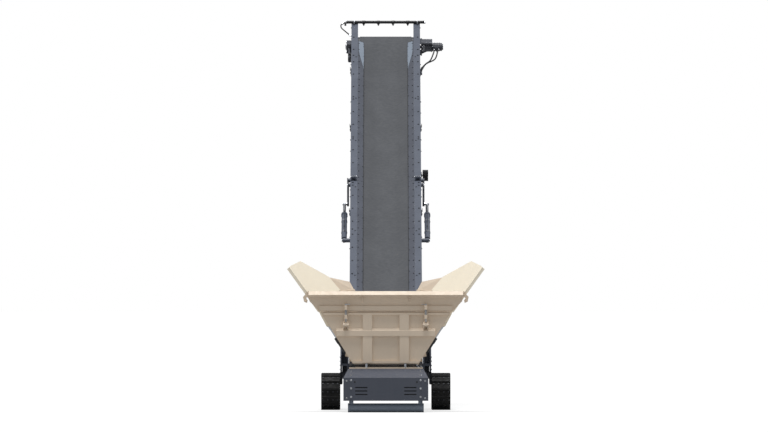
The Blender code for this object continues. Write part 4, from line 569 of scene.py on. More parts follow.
def belt_stations():
    """The belt's inner face round the machine: (u, w, lead angle, trough), once round from the tail drum."""
    radius = DRUM_RADIUS + 0.002
    rise = TROUGH_FLOOR - radius
    shares = [i / 8 for i in range(1, 8)]
    changing = [(TROUGH_RUN * share, radius + rise * eased(share), 0.0, eased(share)) for share in shares]
    stations = list(changing)
    count = 56
    for i in range(count + 1):
        u = TROUGH_RUN + (DRUM_SPACING - 2 * TROUGH_RUN) * i / count
        stations.append((u, TROUGH_FLOOR + 0.0015, 0.0, 1.0))
    stations += [(DRUM_SPACING - u, *rest) for u, *rest in reversed(changing)]
    for centre, first in ((DRUM_SPACING, pi / 2), (0.0, -pi / 2)):
        for i in range(25):
            angle = first - pi * i / 24
            stations.append((centre + radius * cos(angle), radius * sin(angle), pi / 2 - angle, 0.0))
        if centre:
            for i in range(1, 48):
                stations.append((DRUM_SPACING * (1 - i / 48), -radius, pi, 0.0))
    return stations


def belt():
    """One endless belt, troughed on the carrying run and flat on the return."""
    shape = Shape(BELT_LINE)
    rows = []
    for u, w, lead, trough in belt_stations():
        section = belt_across(trough)
        section = [(-x, rise, -tilt) for x, rise, tilt in reversed(section[1:])] + section
        out = (sin(lead), cos(lead))
        row = []
        for depth in (0.0, BELT_THICKNESS - 0.002):
            line = []
            for x, rise, tilt in section:
                lift = rise + depth * cos(tilt)
                place = (x - depth * sin(tilt), u + out[0] * lift, w + out[1] * lift)
                line.append(shape.mesh.verts.new(place))
            row.append(line)
        rows.append(row[0] + row[1][::-1])
    size = len(rows[0])
    for i, row in enumerate(rows):
        after = rows[(i + 1) % len(rows)]
        for j in range(size):
            k = (j + 1) % size
            shape.mesh.faces.new((row[j], row[k], after[k], after[j]))
    bmesh.ops.recalc_face_normals(shape.mesh, faces=shape.mesh.faces)
    made = shape.placed("conveyor_belt", BELT, radians(40))
    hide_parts("belt_tail_section", "belt_head_section")
    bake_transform(made)


belt()

# ---- rollers ----

MAIN_IDLERS = (1.6, 2.6, 3.4, 4.6, 5.5, 6.6, 7.4, 8.6, 9.5)
HEAD_IDLERS = (11.4, 12.3, 13.3, 14.2, 15.4, 16.2, 17.4)
MAIN_RETURNS = (2.5, 5.6, 8.5)
HEAD_RETURNS = (11.9, 14.3, 17.0)
ROLL_RADIUS = 0.048
ROLL_PROFILE = ((0.0, 0.7), (0.012, 1.0), (0.03, 1.0), (0.97, 1.0), (0.988, 1.0), (1.0, 0.7))


def sided(side, low, high):
    """An x span on the machine's left, for -1, or right, for 1."""
    return sorted((side * low, side * high))


def scaled(profile, radius):
    """A lathe profile whose radii are shares of this one."""
    return [(share, radius * scale) for share, scale in profile]


def roll(shape, start, end, radius=ROLL_RADIUS):
    """One belt roller between its ends, with rounded rims and a stub of its shaft at each end."""
    start, end = Vector(start), Vector(end)
    lead = (end - start).normalized()
    shape.turned(start, end, scaled(ROLL_PROFILE, radius), 20)
    shape.rod(start - lead * 0.018, end + lead * 0.018, 0.010, 10)


def trough_idlers(name, body, places):
    """Three-roll carrying idlers under the belt and the brackets that hold them."""
    rolls, brackets = Shape(BELT_LINE), Shape(BELT_LINE)
    drop = ROLL_RADIUS + 0.001
    tilt = Vector((-sin(TROUGH_ANGLE), 0.0, cos(TROUGH_ANGLE)))
    for u in places:
        roll(rolls, (-0.178, u, TROUGH_FLOOR - drop), (0.178, u, TROUGH_FLOOR - drop))
        brackets.box((-0.66, 0.66), (u - 0.03, u + 0.03), (-0.0465, -0.008))
        for side in SIDES:
            ends = []
            for x in (0.222, 0.500):
                surface = Vector((x, u, TROUGH_FLOOR + (x - BELT_FLAT / 2) * tan(TROUGH_ANGLE)))
                point = surface - tilt * drop
                ends.append((side * point.x, u, point.z))
            roll(rolls, *ends)
            brackets.box(sided(side, 0.195, 0.203), (u - 0.022, u + 0.022), (-0.01, 0.075))
            brackets.box(sided(side, 0.548, 0.557), (u - 0.03, u + 0.03), (-0.01, 0.185))
            brackets.bolt((side * 0.63, u, -0.008), UP, 0.009)
    rolls.done(f"{name}_carrying_rolls", DARK, body)
    brackets.done(f"{name}_idler_brackets", BLACK, body, bevel=0.0015)


def return_idlers(name, body, places):
    """Flat rollers under the return run, hung from the side channels."""
    rolls, hangers = Shape(BELT_LINE), Shape(BELT_LINE)
    w = -DRUM_RADIUS - BELT_THICKNESS - 0.002 - 0.040
    for u in places:
        roll(rolls, (-0.53, u, w), (0.53, u, w), 0.039)
        for side in SIDES:
            hangers.box(sided(side, 0.566, 0.574), (u - 0.035, u + 0.035), (w - 0.03, -0.0605))
            hangers.box(sided(side, 0.566, 0.64), (u - 0.035, u + 0.035), (-0.068, -0.0605))
            hangers.rod((side * 0.548, u, w), (side * 0.59, u, w), 0.013, 6)
    rolls.done(f"{name}_return_rolls", DARK, body)
    hangers.done(f"{name}_return_hangers", BLACK, body, bevel=0.0015)


for section, section_body, carrying, returning in (
    ("tail_section", "main_boom", MAIN_IDLERS, MAIN_RETURNS),
    ("head_section", "head_boom", HEAD_IDLERS, HEAD_RETURNS),
):
    trough_idlers(section, section_body, carrying)
    return_idlers(section, section_body, returning)

TRACK_X = 1.07
IDLER_Y, SPROCKET_Y = 4.45, 7.15
CHAIN_BOTTOM, CHAIN_TOP = 0.07, 0.63
WHEEL_Z = 0.35
BOTTOM_ROLLER_Y = (4.98, 5.53, 6.07, 6.62)


def track_rollers():
    """The flanged rollers that run on the track's bottom and the one that carries its top."""
    shape = Shape()
    half = ((0.0, 0.72), (0.02, 0.98), (0.16, 1.0), (0.19, 0.84))
    flanged = half + ((0.81, 0.84), (0.84, 1.0), (0.98, 0.98), (1.0, 0.72))
    z = CHAIN_BOTTOM + 0.075
    for y in BOTTOM_ROLLER_Y:
        shape.turned((TRACK_X - 0.105, y, z), (TRACK_X + 0.105, y, z), scaled(flanged, 0.073), 24)
        shape.rod((TRACK_X - 0.118, y, z), (TRACK_X + 0.118, y, z), 0.02, 12)
    z = CHAIN_TOP - 0.046
    shape.turned((TRACK_X - 0.09, 5.80, z), (TRACK_X + 0.09, 5.80, z), scaled(flanged, 0.044), 24)
    shape.box((TRACK_X - 0.06, TRACK_X + 0.06), (5.78, 5.82), (0.531, 0.57))
    shape.done("track_rollers", DARK, "undercarriage", hands=True)


track_rollers()


# ---- fasteners, seals and plates of the conveyor ----

# Each section's body, its frame, its skirts, the clear part of its seals, and the lugs on its side.
SECTIONS = (
    ("tail_section", "main_boom", (4.55, 10.45), (0.52, 10.52), (1.62, 10.59), (8.9,)),
    ("head_section", "head_boom", (10.85, 19.85), (10.68, 18.82), (10.61, 17.68), (13.8, 17.2)),
)
FLANGE_JOINTS = (5.2, 7.7, 10.2, 12.9, 15.4, 17.9)
FLANGE_BOLT_X = 0.652
SKIRT_TOP = (FRAME_HALF - FLANGE_WIDTH, FLANGE_TOP)
SKIRT_EDGE = (0.44, 0.2395)


def runs(start, end, pitch):
    """Places about a pitch apart between start and end, the ends included."""
    count = max(round((end - start) / pitch), 1)
    return [start + (end - start) * i / count for i in range(count + 1)]


def frame_fasteners(name, body, frame_run, skirt_run, seal_run, lug_places):
    """Flange and web bolts, skirt studs and seals, and the lugs on the web."""
    start, end = frame_run
    bolts = Shape(BELT_LINE)
    for u in runs(start, end, 0.77):
        bolts.bolt((FLANGE_BOLT_X, u, FLANGE_TOP), UP, 0.013)
    for joint in FLANGE_JOINTS:
        if start < joint < end:
            bolts.bolt((FLANGE_BOLT_X, joint + 0.09, FLANGE_TOP), UP, 0.013)
            bolts.bolt((0.600, joint, FLANGE_TOP), UP, 0.011)
    for u in runs(start, end, 2.5):
        for w in (-0.02, 0.22):
            bolts.bolt((FRAME_HALF, u, w), RIGHT, 0.011)
    bolts.done(f"{name}_flange_bolts", DARK, body, hands=True)

    slope = Vector((SKIRT_EDGE[0] - SKIRT_TOP[0], 0.0, SKIRT_EDGE[1] - SKIRT_TOP[1]))
    out = Vector((slope.z, 0.0, -slope.x))
    low, high = skirt_run
    studs = Shape(BELT_LINE)
    for inset, pitch, share, size in ((0.1, 0.36, 0.2, 0.010), (0.2, 0.6, 0.86, 0.008)):
        for u in runs(low + inset, high - inset, pitch):
            studs.bolt(Vector((SKIRT_TOP[0], u, SKIRT_TOP[1])) + share * slope, out, size)
    studs.done(f"{name}_skirt_studs", DARK, body, hands=True)

    strips = Shape(BELT_LINE)
    strips.slab([(0.441, 0.2475), (0.449, 0.2475), (0.445, 0.2105), (0.437, 0.2075)], "y", *seal_run)
    strips.done(f"{name}_skirt_seals", SEAL, body, hands=True)

    lugs = Shape(BELT_LINE)
    for u in lug_places:
        lugs.box((0.7003, 0.712), (u - 0.05, u + 0.05), (0.16, 0.26))
        ear = [(u - 0.03, 0.24), (u + 0.03, 0.24), (u + 0.018, 0.305), (u - 0.018, 0.305)]
        lugs.slab(ear, "x", 0.712, 0.722)
        for side in SIDES:
            lugs.bolt((0.712, u + side * 0.032, 0.185), RIGHT, 0.008)
    lugs.done(f"{name}_lugs", BLACK, body, bevel=0.001, hands=True)


for section_row in SECTIONS:
    frame_fasteners(*section_row)


def fold_joint_fasteners():
    """The butt plates' bolts and pin caps on either side of the fold."""
    for body, side, stem in (("main_boom", -1, "tail"), ("head_boom", 1, "head")):
        bolts = Shape(BELT_LINE)
        for w in (-0.14, -0.26, -0.38):
            bolts.bolt((0.648, FOLD_U + side * 0.0312, w), (0, side, 0), 0.012)
        bolts.done(f"{stem}_butt_bolts", DARK, body, hands=True)
    caps = Shape(BELT_LINE)
    profile = ((0.0, 0.9), (0.3, 1.0), (0.8, 1.0), (1.0, 0.75))
    for x in (0.69, 0.566):
        caps.disc((x, FOLD_U, FOLD_W), 0.009, scaled(profile, 0.026))
    for (u, w), x in ((ROCKER_FOOT, 0.745), (FOLD_BARREL_FOOT, 0.85)):
        caps.disc((x, u, w), 0.012, scaled(profile, 0.034))
        caps.bolt((x + 0.012, u, w), RIGHT, 0.008)
    caps.done("fold_pin_caps", ZINC, "main_boom", hands=True)


fold_joint_fasteners()

# ---- tail guard ----


def guard_details():
    """The guard's bolts, and the backing and lips of its louvres."""
    bolts = Shape()
    top_run, top_rise = 0.52, 0.168
    top_out = Vector((0.0, -top_rise, top_run)).normalized()
    for x in (-0.66, 0.66):
        for z in (0.612, 0.456, 0.295):
            bolts.bolt((x, GUARD_FRONT, z), FRONT, 0.014)
        for share in (0.22, 0.68):
            bolts.bolt((x, GUARD_FRONT + top_run * share, 0.657 + top_rise * share), top_out, 0.014)
    for x in (-0.745, 0.745):
        for z in (0.272, 0.60):
            bolts.bolt((x, GUARD_FRONT, z), FRONT, 0.012)
    bolts.done("guard_bolts", ZINC, "main_boom")
    plates = Shape()
    for side in SIDES:
        plates.box(sided(side, 0.32, 0.61), (-0.452, -0.446), (0.315, 0.50))
        for z in (0.34, 0.406, 0.472):
            lip = [(-0.4715, z + 0.012), (-0.4615, z + 0.012), (-0.4525, z - 0.004), (-0.4615, z + 0.003)]
            plates.slab(lip, "x", *sided(side, 0.35, 0.58))
        plates.box(sided(side, 0.575, 0.605), (-0.474, -0.4695), (0.562, 0.592))
    plates.done("guard_louvres", BLACK, "main_boom", bevel=0.0008)


guard_details()

# ---- hopper ----


def hose_rail():
    """The rail under the hopper's front edge and the hydraulic lines clipped along it."""
    rail = Shape()
    angle = [(0.062, 0.80), (0.104, 0.80), (0.104, 0.812), (0.074, 0.812), (0.074, 0.85), (0.062, 0.85)]
    rail.slab(angle, "x", -0.70, 0.70)
    made = rail.done("front_rail", CREAM, "main_boom", bevel=0.002)
    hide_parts("hopper_hose_rail")
    lines = Shape()
    y = 0.083
    for z, start, end, drop in (
        (0.868, -0.68, 0.60, 0.0),
        (0.886, -0.69, 0.64, 0.004),
        (0.904, -0.66, 0.56, -0.004),
    ):
        points = []
        for i in range(25):
            share = i / 24
            sway = sin(share * pi * 3.0) ** 2
            points.append((start + (end - start) * share, y + drop * sway, z - 0.003 * sway))
        points += [(end + 0.03, y, z - 0.006), (end + 0.05, y, z - 0.02)]
        lines.pipe(points, 0.0075, 10)
    lines.done("front_lines", HOSE, "main_boom")
    clips = Shape()
    for x in (-0.37, 0.37):
        clips.box((x - 0.016, x + 0.016), (0.0725, 0.0925), (0.852, 0.918))
        clips.box((x - 0.02, x + 0.02), (0.064, 0.0725), (0.83, 0.925))
        clips.bolt((x, 0.064, 0.842), FRONT, 0.007)
        clips.bolt((x, 0.0725, 0.895), FRONT, 0.006)
    for x, z in ((0.615, 0.862), (0.655, 0.878), (0.575, 0.898)):
        clips.rod((x, y, z), (x + 0.03, y, z - 0.012), 0.012, 6)
        clips.rod((x + 0.028, y, z - 0.011), (x + 0.038, y, z - 0.034), 0.0095, 12)
        clips.rod((x + 0.034, y, z - 0.024), (x + 0.044, y, z - 0.05), 0.0115, 6)
    clips.done("front_clips", ZINC, "main_boom", bevel=0.0008)


hose_rail()

LOCK_PIN_X = 0.76
LOCK_PIN_Y = -0.0125
SPRING_RADIUS = 0.0236
SPRING_FOOT = 1.868
SPRING_PITCH = 0.01276
SPRING_TURNS = 6
HINGE_PIN_Z = 1.66


def flap_details():
    """The flap's seal strip, corner hooks, folded lip and gussets, lock springs and hinge pins."""
    seal = Shape()
    seal.box((-1.20, 1.20), (0.1205, 0.127), (1.9135, 1.955))
    for side in SIDES:
        hook = [(1.43, 2.29), (1.52, 2.285), (1.535, 2.235), (1.575, 2.19), (1.555, 2.10), (1.50, 2.075)]
        hook += [(1.485, 2.125), (1.515, 2.165), (1.48, 2.20), (1.47, 2.235), (1.425, 2.245)]
        hook = [(side * x, z) for x, z in hook]
        seal.slab(hook, "y", 0.075, 0.104)
        for x, z in ((1.465, 2.267), (1.525, 2.115)):
            seal.bolt((side * x, 0.075, z), FRONT, 0.008)
    lip = Shape()
    lip.slab([(0.0398, 2.3005), (0.0398, 2.2935), (-0.0295, 2.224), (-0.035, 2.2285)], "x", -1.47, 1.47)
    for x in (-0.445, 0.445):
        lip.slab([(0.1035, 2.185), (0.1035, 2.10), (0.062, 2.205)], "x", x - 0.007, x + 0.007)
    lip.done("flap_lip", CREAM, "feed_flap", bevel=0.002)
    seal.done("flap_seal_and_hooks", CREAM, "feed_flap", bevel=0.0015)
    springs = Shape()
    steps = 12
    for side in SIDES:
        x = side * LOCK_PIN_X
        coil = [
            (
                x + SPRING_RADIUS * cos(2 * pi * i / steps),
                LOCK_PIN_Y + SPRING_RADIUS * sin(2 * pi * i / steps),
                SPRING_FOOT + SPRING_PITCH * i / steps,
            )
            for i in range(steps * SPRING_TURNS)
        ]
        springs.pipe(coil, 0.0022, 6)
        outer, inner = ((0.0, 0.018), (0.3, 0.022), (1.0, 0.022)), ((0.0, 0.022), (0.7, 0.022), (1.0, 0.018))
        springs.turned((x - 0.0385, 0, HINGE_PIN_Z), (x - 0.0305, 0, HINGE_PIN_Z), outer)
        springs.turned((x + 0.0305, 0, HINGE_PIN_Z), (x + 0.0385, 0, HINGE_PIN_Z), inner)
    springs.done("flap_springs_and_pins", ZINC, "feed_flap")


flap_details()

# ---- cylinders ----


def cylinder_details(name, ends, x, radius, length, rod_radius, bodies, place, left):
    """Bands, gland bolts, ports, the line along a barrel, and the pin plate on its rod's eye."""
    foot, head = (Vector((x, *end)) for end in ends)
    lead = (head - foot).normalized()
    side = Vector((1.0, 0.0, 0.0))
    up = side.cross(lead)
    up = up if up.z > 0 else -up

    def at(distance, above=0.0):
        return foot + lead * distance + up * above

    gland = radius * 1.16
    fittings = Shape(place)
    band = ((0.0, 1.02), (0.1, 1.1), (0.9, 1.1), (1.0, 1.02))
    for share in (0.30, 0.72):
        fittings.turned(at(length * share - 0.02), at(length * share + 0.02), scaled(band, radius))
    wiper = ((0.0, 1.9), (0.45, 1.9), (0.5, 1.6), (1.0, 1.35))
    fittings.turned(at(length + 0.0005), at(length + 0.02), scaled(wiper, rod_radius))
    for c, s in circle(6, 0.5):
        spot = at(length - 0.0005) + (side * c + up * s) * (gland - 0.013 * radius / 0.055)
        fittings.bolt(spot, lead, 0.11 * radius)
    for distance in (0.24 * length, length - 0.07):
        fittings.rod(at(distance, radius * 0.9), at(distance, gland + 0.03), 0.016, 6)
    fittings.done(f"{name}_fittings", ZINC, bodies[0], left=left)
    line = Shape(place)
    high = gland + 0.03
    route = (
        (length - 0.07, high - 0.01),
        (length - 0.075, high + 0.004),
        (length - 0.10, high + 0.010),
        (length - 0.16, radius + 0.022),
        (length * 0.6, radius + 0.018),
        (length * 0.34, radius + 0.018),
        (length * 0.30, high + 0.002),
        (length * 0.26, high + 0.010),
        (length * 0.243, high + 0.004),
        (length * 0.24, high - 0.01),
    )
    line.pipe(smooth([at(distance, above) for distance, above in route], 6), 0.008, 12)
    for share in (0.42, 0.60):
        spot = at(length * share)
        line.rod(spot + up * (radius - 0.002), spot + up * (radius + 0.028), 0.013, 8)
    line.done(f"{name}_line", DARK, bodies[0], "frame_paint", left=left)
    plate = Shape(place)
    face = head + side * 0.0255
    plate.turned(face, face + side * 0.010, ((0.0, 0.034), (0.3, 0.037), (0.8, 0.037), (1.0, 0.03)), 24)
    plate.bolt(face + side * 0.010, side, 0.007)
    plate.rod(head - lead * 0.02, head - lead * 0.075, 0.006, 8)
    plate.done(f"{name}_pin_plate", ZINC, bodies[1], left=left)


def on_belt_line(u, w):
    """The ground y and z of a place on the belt line."""
    point = BELT_LINE @ Vector((0.0, u, w))
    return (point.y - SITE_Y, point.z)


def frame_of(origin, along, up):
    """A frame whose Y runs along, whose Z lies towards up, and whose X is square to both."""
    y = along.normalized()
    z = (up - up.dot(y) * y).normalized()
    return Matrix.Translation(origin) @ Matrix((y.cross(z), y, z)).transposed().to_4x4()


# The hopper's walls lean out from the seat on the frame to a rim, and each wing is hinged along its rim.
RIM = Vector((1.24, 0.12, 1.90))
SEAT_X = 0.60
SEAT_RISE = FLANGE_TOP + 0.011
HOPPER_LENGTH = 3.83
HINGE_END_Y = 2.78
WING_LEAN = 0.775


def seat_height(y):
    """How high the hopper's seat on the frame is, at a ground y."""
    return TAIL_DRUM_HEIGHT + y * tan(BELT_ANGLE) + SEAT_RISE / cos(BELT_ANGLE)


WALL_LEAN = (RIM.x - SEAT_X) / (RIM.z - seat_height(RIM.y))
SHELF = seat_height(RIM.y + HOPPER_LENGTH)
HINGE_END = Vector((SEAT_X + WALL_LEAN * (SHELF - seat_height(HINGE_END_Y)), HINGE_END_Y, SHELF))
WALL = SITE @ frame_of(RIM, HINGE_END - RIM, Vector((WALL_LEAN, 0.0, 1.0)))
WING = SITE @ frame_of(Vector(), HINGE_END - RIM, Vector((WING_LEAN, 0.0, 1.0)))
WING.translation = WALL @ Vector((0.03, 0.0, 0.0))

for is_left, hand in HANDS:
    fold_ends = (FOLD_BARREL_FOOT, FOLD_ROD_EYE)
    fold_bodies = (f"fold_barrel_{hand}", f"fold_rod_{hand}")
    cylinder_details(
        f"fold_cylinder_{hand}", fold_ends, 0.815, 0.055, 1.95, 0.03, fold_bodies, BELT_LINE, is_left
    )
    luff_ends = ((8.0, 0.98), on_belt_line(10.0, -0.64))
    luff_bodies = (f"luff_barrel_{hand}", f"luff_rod_{hand}")
    cylinder_details(f"luff_cylinder_{hand}", luff_ends, 0.45, 0.075, 1.55, 0.045, luff_bodies, SITE, is_left)


def wing_details(hand, left):
    """The heads of a wing's hinge pins and the weld beads along its ribs."""
    pins = Shape(WALL)
    for y in (0.75, 2.25):
        for side in SIDES:
            pins.rod((0.03, y + side * 0.1105, 0), (0.03, y + side * 0.122, 0), 0.016, 16)
    pins.settle()
    pins.done(f"wing_hinge_pins_{hand}", ZINC, "main_boom", left=left)
    beads = Shape(WING)
    for y, height in ((0.95, 0.74), (1.55, 0.60), (2.2, 0.36)):
        for side in SIDES:
            edge = y + side * 0.033
            beads.pipe([(-0.029, edge, 0.05), (-0.029, edge, height - 0.03)], 0.005, 6)
    beads.settle()
    # The beads take the wings' lighter cream, which is painted light.
    beads.done(f"wing_weld_beads_{hand}", LIT_CREAM, f"hopper_wing_{hand}", left=left)


for is_left, hand in HANDS:
    wing_details(hand, is_left)

# ---- head end ----

HEAD_BAR_U = HEAD_END_U - 0.05
HEAD_BAR_W = FLANGE_TOP + 0.035


def spray_bar_details():
    """Clamps, nozzle tips and the feed pipe of the spray bar."""
    u, w = HEAD_BAR_U, HEAD_BAR_W
    bright = Shape(BELT_LINE)
    for x in (-0.645, 0.645):
        clamp = ((0.0, 0.032), (0.2, 0.035), (0.8, 0.035), (1.0, 0.032))
        bright.turned((x - 0.009, u, w), (x + 0.009, u, w), clamp)
        bright.bolt((x, u - 0.046, w - 0.008), FRONT, 0.009)
    bright.rod((-0.855, u, w), (-0.805, u, w), 0.0335, 6)
    bright.rod((0.775, u, w), (0.815, u - 0.01, w - 0.006), 0.024, 6)
    bright.rod((-0.845, u - 0.01, w - 0.008), (-0.895, u - 0.035, w - 0.03), 0.019, 6)
    bright.rod((-0.7035, 19.645, 0.12), (-0.74, 19.665, 0.125), 0.02, 6)
    bright.done("spray_bar_clamps", ZINC, "head_boom", bevel=0.0008)
    tips = Shape(BELT_LINE)
    tip = ((0.0, 0.026), (0.4, 0.026), (0.55, 0.019), (0.9, 0.012), (1.0, 0.01))
    collar = ((0.0, 0.031), (0.12, 0.0345), (0.88, 0.0345), (1.0, 0.031))
    for x in (-0.45, -0.15, 0.15, 0.45):
        tips.turned((x, u, w - 0.02), (x, u, w - 0.075), tip)
        tips.turned((x - 0.035, u, w), (x + 0.035, u, w), collar)
    tips.done("spray_nozzles", BLACK, "head_boom")
    feed = Shape(BELT_LINE)
    route = [
        (-0.89, u - 0.03, w - 0.026),
        (-0.915, u - 0.05, w - 0.05),
        (-0.905, u - 0.10, w - 0.09),
        (-0.83, u - 0.16, w - 0.14),
        (-0.765, 19.72, 0.135),
        (-0.745, 19.69, 0.128),
        (-0.738, 19.66, 0.124),
    ]
    feed.pipe(smooth(route, 6), 0.012, 14)
    feed.done("spray_feed_pipe", HOSE, "head_boom")


spray_bar_details()


def head_drive_details():
    """The drive's ribs and bolts, the take-up bearing's bolts and screw, and the belt scraper."""
    u = DRUM_SPACING
    case = Shape(BELT_LINE)
    rib = ((0.0, 0.083), (0.15, 0.091), (0.85, 0.091), (1.0, 0.083))
    for i in range(5):
        x = 0.955 + 0.034 * i
        case.disc((x, u, 0), 0.012, rib, 32)
    flange = ((0.0, 0.1), (0.1, 0.104), (0.9, 0.104), (1.0, 0.1))
    case.disc((0.925, u, 0), 0.02, flange, 32)
    for side in SIDES:
        gusset = [(0.741, side * 0.125), (0.741, side * 0.05), (0.90, side * 0.05)]
        case.slab(gusset, "y", u - 0.066, u - 0.054)
    case.box((1.0, 1.075), (u - 0.155, u - 0.118), (-0.034, 0.034))
    case.box((0.96, 1.11), (u - 0.122, u - 0.078), (-0.045, 0.045))
    case.done("drive_case_ribs", DARK, "head_boom", bevel=0.0015)
    bolts = Shape(BELT_LINE)
    bolts.bolt_circle(0.9455, u, 0.0, 0.092, 8, 0.007)
    for c, s in circle(8, 0.5):
        bolts.bolt((0.7405, u + 0.122 * c, 0.112 * s), RIGHT, 0.009)
    bolts.bolt_circle(1.1705, u, 0.0, 0.045, 6, 0.006, 0.0)
    for x in (0.76, 0.83, 0.90):
        for offset in (-0.06, 0.12):
            bolts.bolt((x, u + offset, 0.1155), UP, 0.009)
    bolts.rod((1.035, u - 0.14, -0.06), (1.035, u - 0.14, -0.034), 0.012, 6)
    bolts.rod((0.775, u - 0.185, 0.045), (0.775, u - 0.185, 0.095), 0.014, 6)
    bolts.rod((0.775, u - 0.17, -0.03), (0.775, u - 0.19, 0.07), 0.009, 12)
    for u_at in (19.20, 19.40):
        for w in (-0.075, 0.075):
            bolts.bolt((-0.8003, u_at, w), LEFT, 0.010)
    cap = ((0.0, 0.062), (0.4, 0.062), (0.7, 0.05), (1.0, 0.035))
    bolts.disc((-0.8003, u, 0), -0.0217, cap)
    for u_at in (18.70, 18.80, 19.165):
        bolts.rod((-0.745, u_at - 0.009, 0), (-0.745, u_at + 0.009, 0), 0.026, 6)
    bolts.rod((-0.76, 19.30, 0.1005), (-0.76, 19.30, 0.118), 0.006, 8)
    bolts.done("head_drive_bolts", ZINC, "head_boom")
    scraper = Shape(BELT_LINE)
    tip_u, tip_w = u + 0.176, -0.152
    blade = [(tip_u, tip_w), (tip_u + 0.012, tip_w - 0.004), (19.54, -0.236), (19.52, -0.24)]
    scraper.slab(blade, "x", -0.50, 0.50)
    scraper.rod((-0.684, 19.53, -0.238), (0.684, 19.53, -0.238), 0.018, 16)
    scraper.done("belt_scraper", BLACK, "head_boom")


head_drive_details()


def flare_plates():
    """The pale liners beside the head drum, over the skirts' last stretch."""
    shape = Shape(BELT_LINE)
    slope = (SKIRT_TOP[1] - SKIRT_EDGE[1]) / (SKIRT_TOP[0] - SKIRT_EDGE[0])

    def at(x, u, lift):
        return (x, u, SKIRT_EDGE[1] + slope * (x - SKIRT_EDGE[0]) + lift)

    outline = [(0.546, 18.86), (0.456, 18.86), (0.446, 18.6), (0.444, 18.1)]
    outline += [(0.444, 17.2), (0.47, 17.5), (0.525, 18.0), (0.546, 18.3)]
    shape.skin([[shape.mesh.verts.new(at(x, u, lift)) for x, u in outline] for lift in (0.0006, 0.0050)])
    bmesh.ops.recalc_face_normals(shape.mesh, faces=shape.mesh.faces)
    shape.done("head_liners", LINER_AND_LIT_GREY, "head_boom", hands=True)


flare_plates()


def work_lamp_details():
    """The work lamp's cooling fins, bezel and lens."""
    u, w = 11.35, 0.10
    bezel = Shape(BELT_LINE)
    for i in range(4):
        z = w - 0.045 + 0.032 * i
        bezel.box((0.735, 0.835), (u - 0.078, u - 0.071), (z - 0.005, z + 0.005))
    bezel.box((0.728, 0.842), (u + 0.0705, u + 0.078), (w - 0.042, w + 0.062))
    bezel.done("lamp_bezel", BLACK, "work_lamp", bevel=0.0015)
    lens = Shape(BELT_LINE)
    lens.box((0.736, 0.834), (u + 0.078, u + 0.083), (w - 0.034, w + 0.054))
    lens.done("lamp_lens", LENS_GLASS, "work_lamp", bevel=0.002)


work_lamp_details()

# ---- undercarriage ----


SHOE_COUNT = 46
SHOE_RADIUS = 0.325
SHOE_BOLT_SHARE = 0.82


def on_track(distance):
    """A place on the shoes, this far round from under the idler: its y and z, and its outward y and z."""
    straight = SPROCKET_Y - IDLER_Y
    turn = pi * SHOE_RADIUS
    distance %= 2 * (straight + turn)
    if distance < straight:
        return IDLER_Y + distance, WHEEL_Z - SHOE_RADIUS, (0.0, -1.0)
    if straight + turn <= distance < 2 * straight + turn:
        return SPROCKET_Y - (distance - straight - turn), WHEEL_Z + SHOE_RADIUS, (0.0, 1.0)
    if distance < straight + turn:
        wheel, angle = SPROCKET_Y, (distance - straight) / SHOE_RADIUS - pi / 2
    else:
        wheel, angle = IDLER_Y, (distance - 2 * straight - turn) / SHOE_RADIUS + pi / 2
    out = (cos(angle), sin(angle))
    return wheel + SHOE_RADIUS * out[0], WHEEL_Z + SHOE_RADIUS * out[1], out


def track_details():
    """Wheel hub caps, shoe bolts, and the bolts and grease plate of the track beam."""
    cap = ((0.0, 0.10), (0.5, 0.10), (0.75, 0.08), (1.0, 0.06))
    face = TRACK_X + 0.0905
    for left, hand in HANDS:
        for kind, y in (("idler", IDLER_Y), ("sprocket", SPROCKET_Y)):
            hub = Shape()
            hub.disc((face, y, WHEEL_Z), 0.018, cap, 32)
            hub.bolt_circle(face + 0.0001, y, WHEEL_Z, 0.085, 8, 0.009, 0.0)
            hub.bolt_circle(TRACK_X + 0.0705, y, WHEEL_Z, 0.17, 10, 0.010, 0.0)
            hub.done(f"track_{kind}_hub_{hand}", DARK, f"track_{kind}_{hand}", left=left)
    shoes = Shape()
    length = 2 * (SPROCKET_Y - IDLER_Y + pi * SHOE_RADIUS)
    for i in range(SHOE_COUNT):
        y, z, out = on_track((i + SHOE_BOLT_SHARE) * length / SHOE_COUNT)
        for x in (-0.14, -0.05, 0.05, 0.14):
            shoes.bolt((TRACK_X + x, y, z), (0.0, *out), 0.010)
    shoes.done("track_shoe_bolts", DARK, "undercarriage", hands=True)
    beam = Shape()
    x = TRACK_X + 0.1405
    for y in (4.75, 5.27, 5.8, 6.33, 6.85):
        beam.bolt((x, y, 0.42), RIGHT, 0.012)
    for y in BOTTOM_ROLLER_Y:
        beam.disc((x, y, 0.185), 0.012, ((0.0, 0.034), (0.6, 0.034), (1.0, 0.026)), 20)
    beam.slab([(5.02, 0.32), (5.24, 0.32), (5.24, 0.38), (5.02, 0.38)], "x", x, x + 0.006)
    beam.rod((x + 0.006, 5.13, WHEEL_Z), (x + 0.02, 5.13, WHEEL_Z), 0.010, 6)
    beam.done("track_beam_bolts", DARK, "undercarriage", bevel=0.0008, hands=True)


track_details()


def chassis_details():
    """The caps on the luff pivots and the bolts of the two towers."""
    caps = Shape()
    y, z = on_belt_line(5.15, -0.50)
    caps.disc((0.9005, y, z), 0.0145, ((0.0, 0.062), (0.5, 0.066), (0.85, 0.066), (1.0, 0.055)))
    caps.bolt_circle(0.915, y, z, 0.04, 4, 0.008)
    for side in SIDES:
        for i in range(4):
            caps.bolt((0.8803, y + side * 0.3, 0.78 + 0.08 * i), RIGHT, 0.011)
    caps.done("tower_caps", ZINC, "undercarriage", hands=True)


chassis_details()


DOOR_FACE = 0.6541
CANOPY_TOP = 1.77
ENGINE_FLOOR = 0.9146


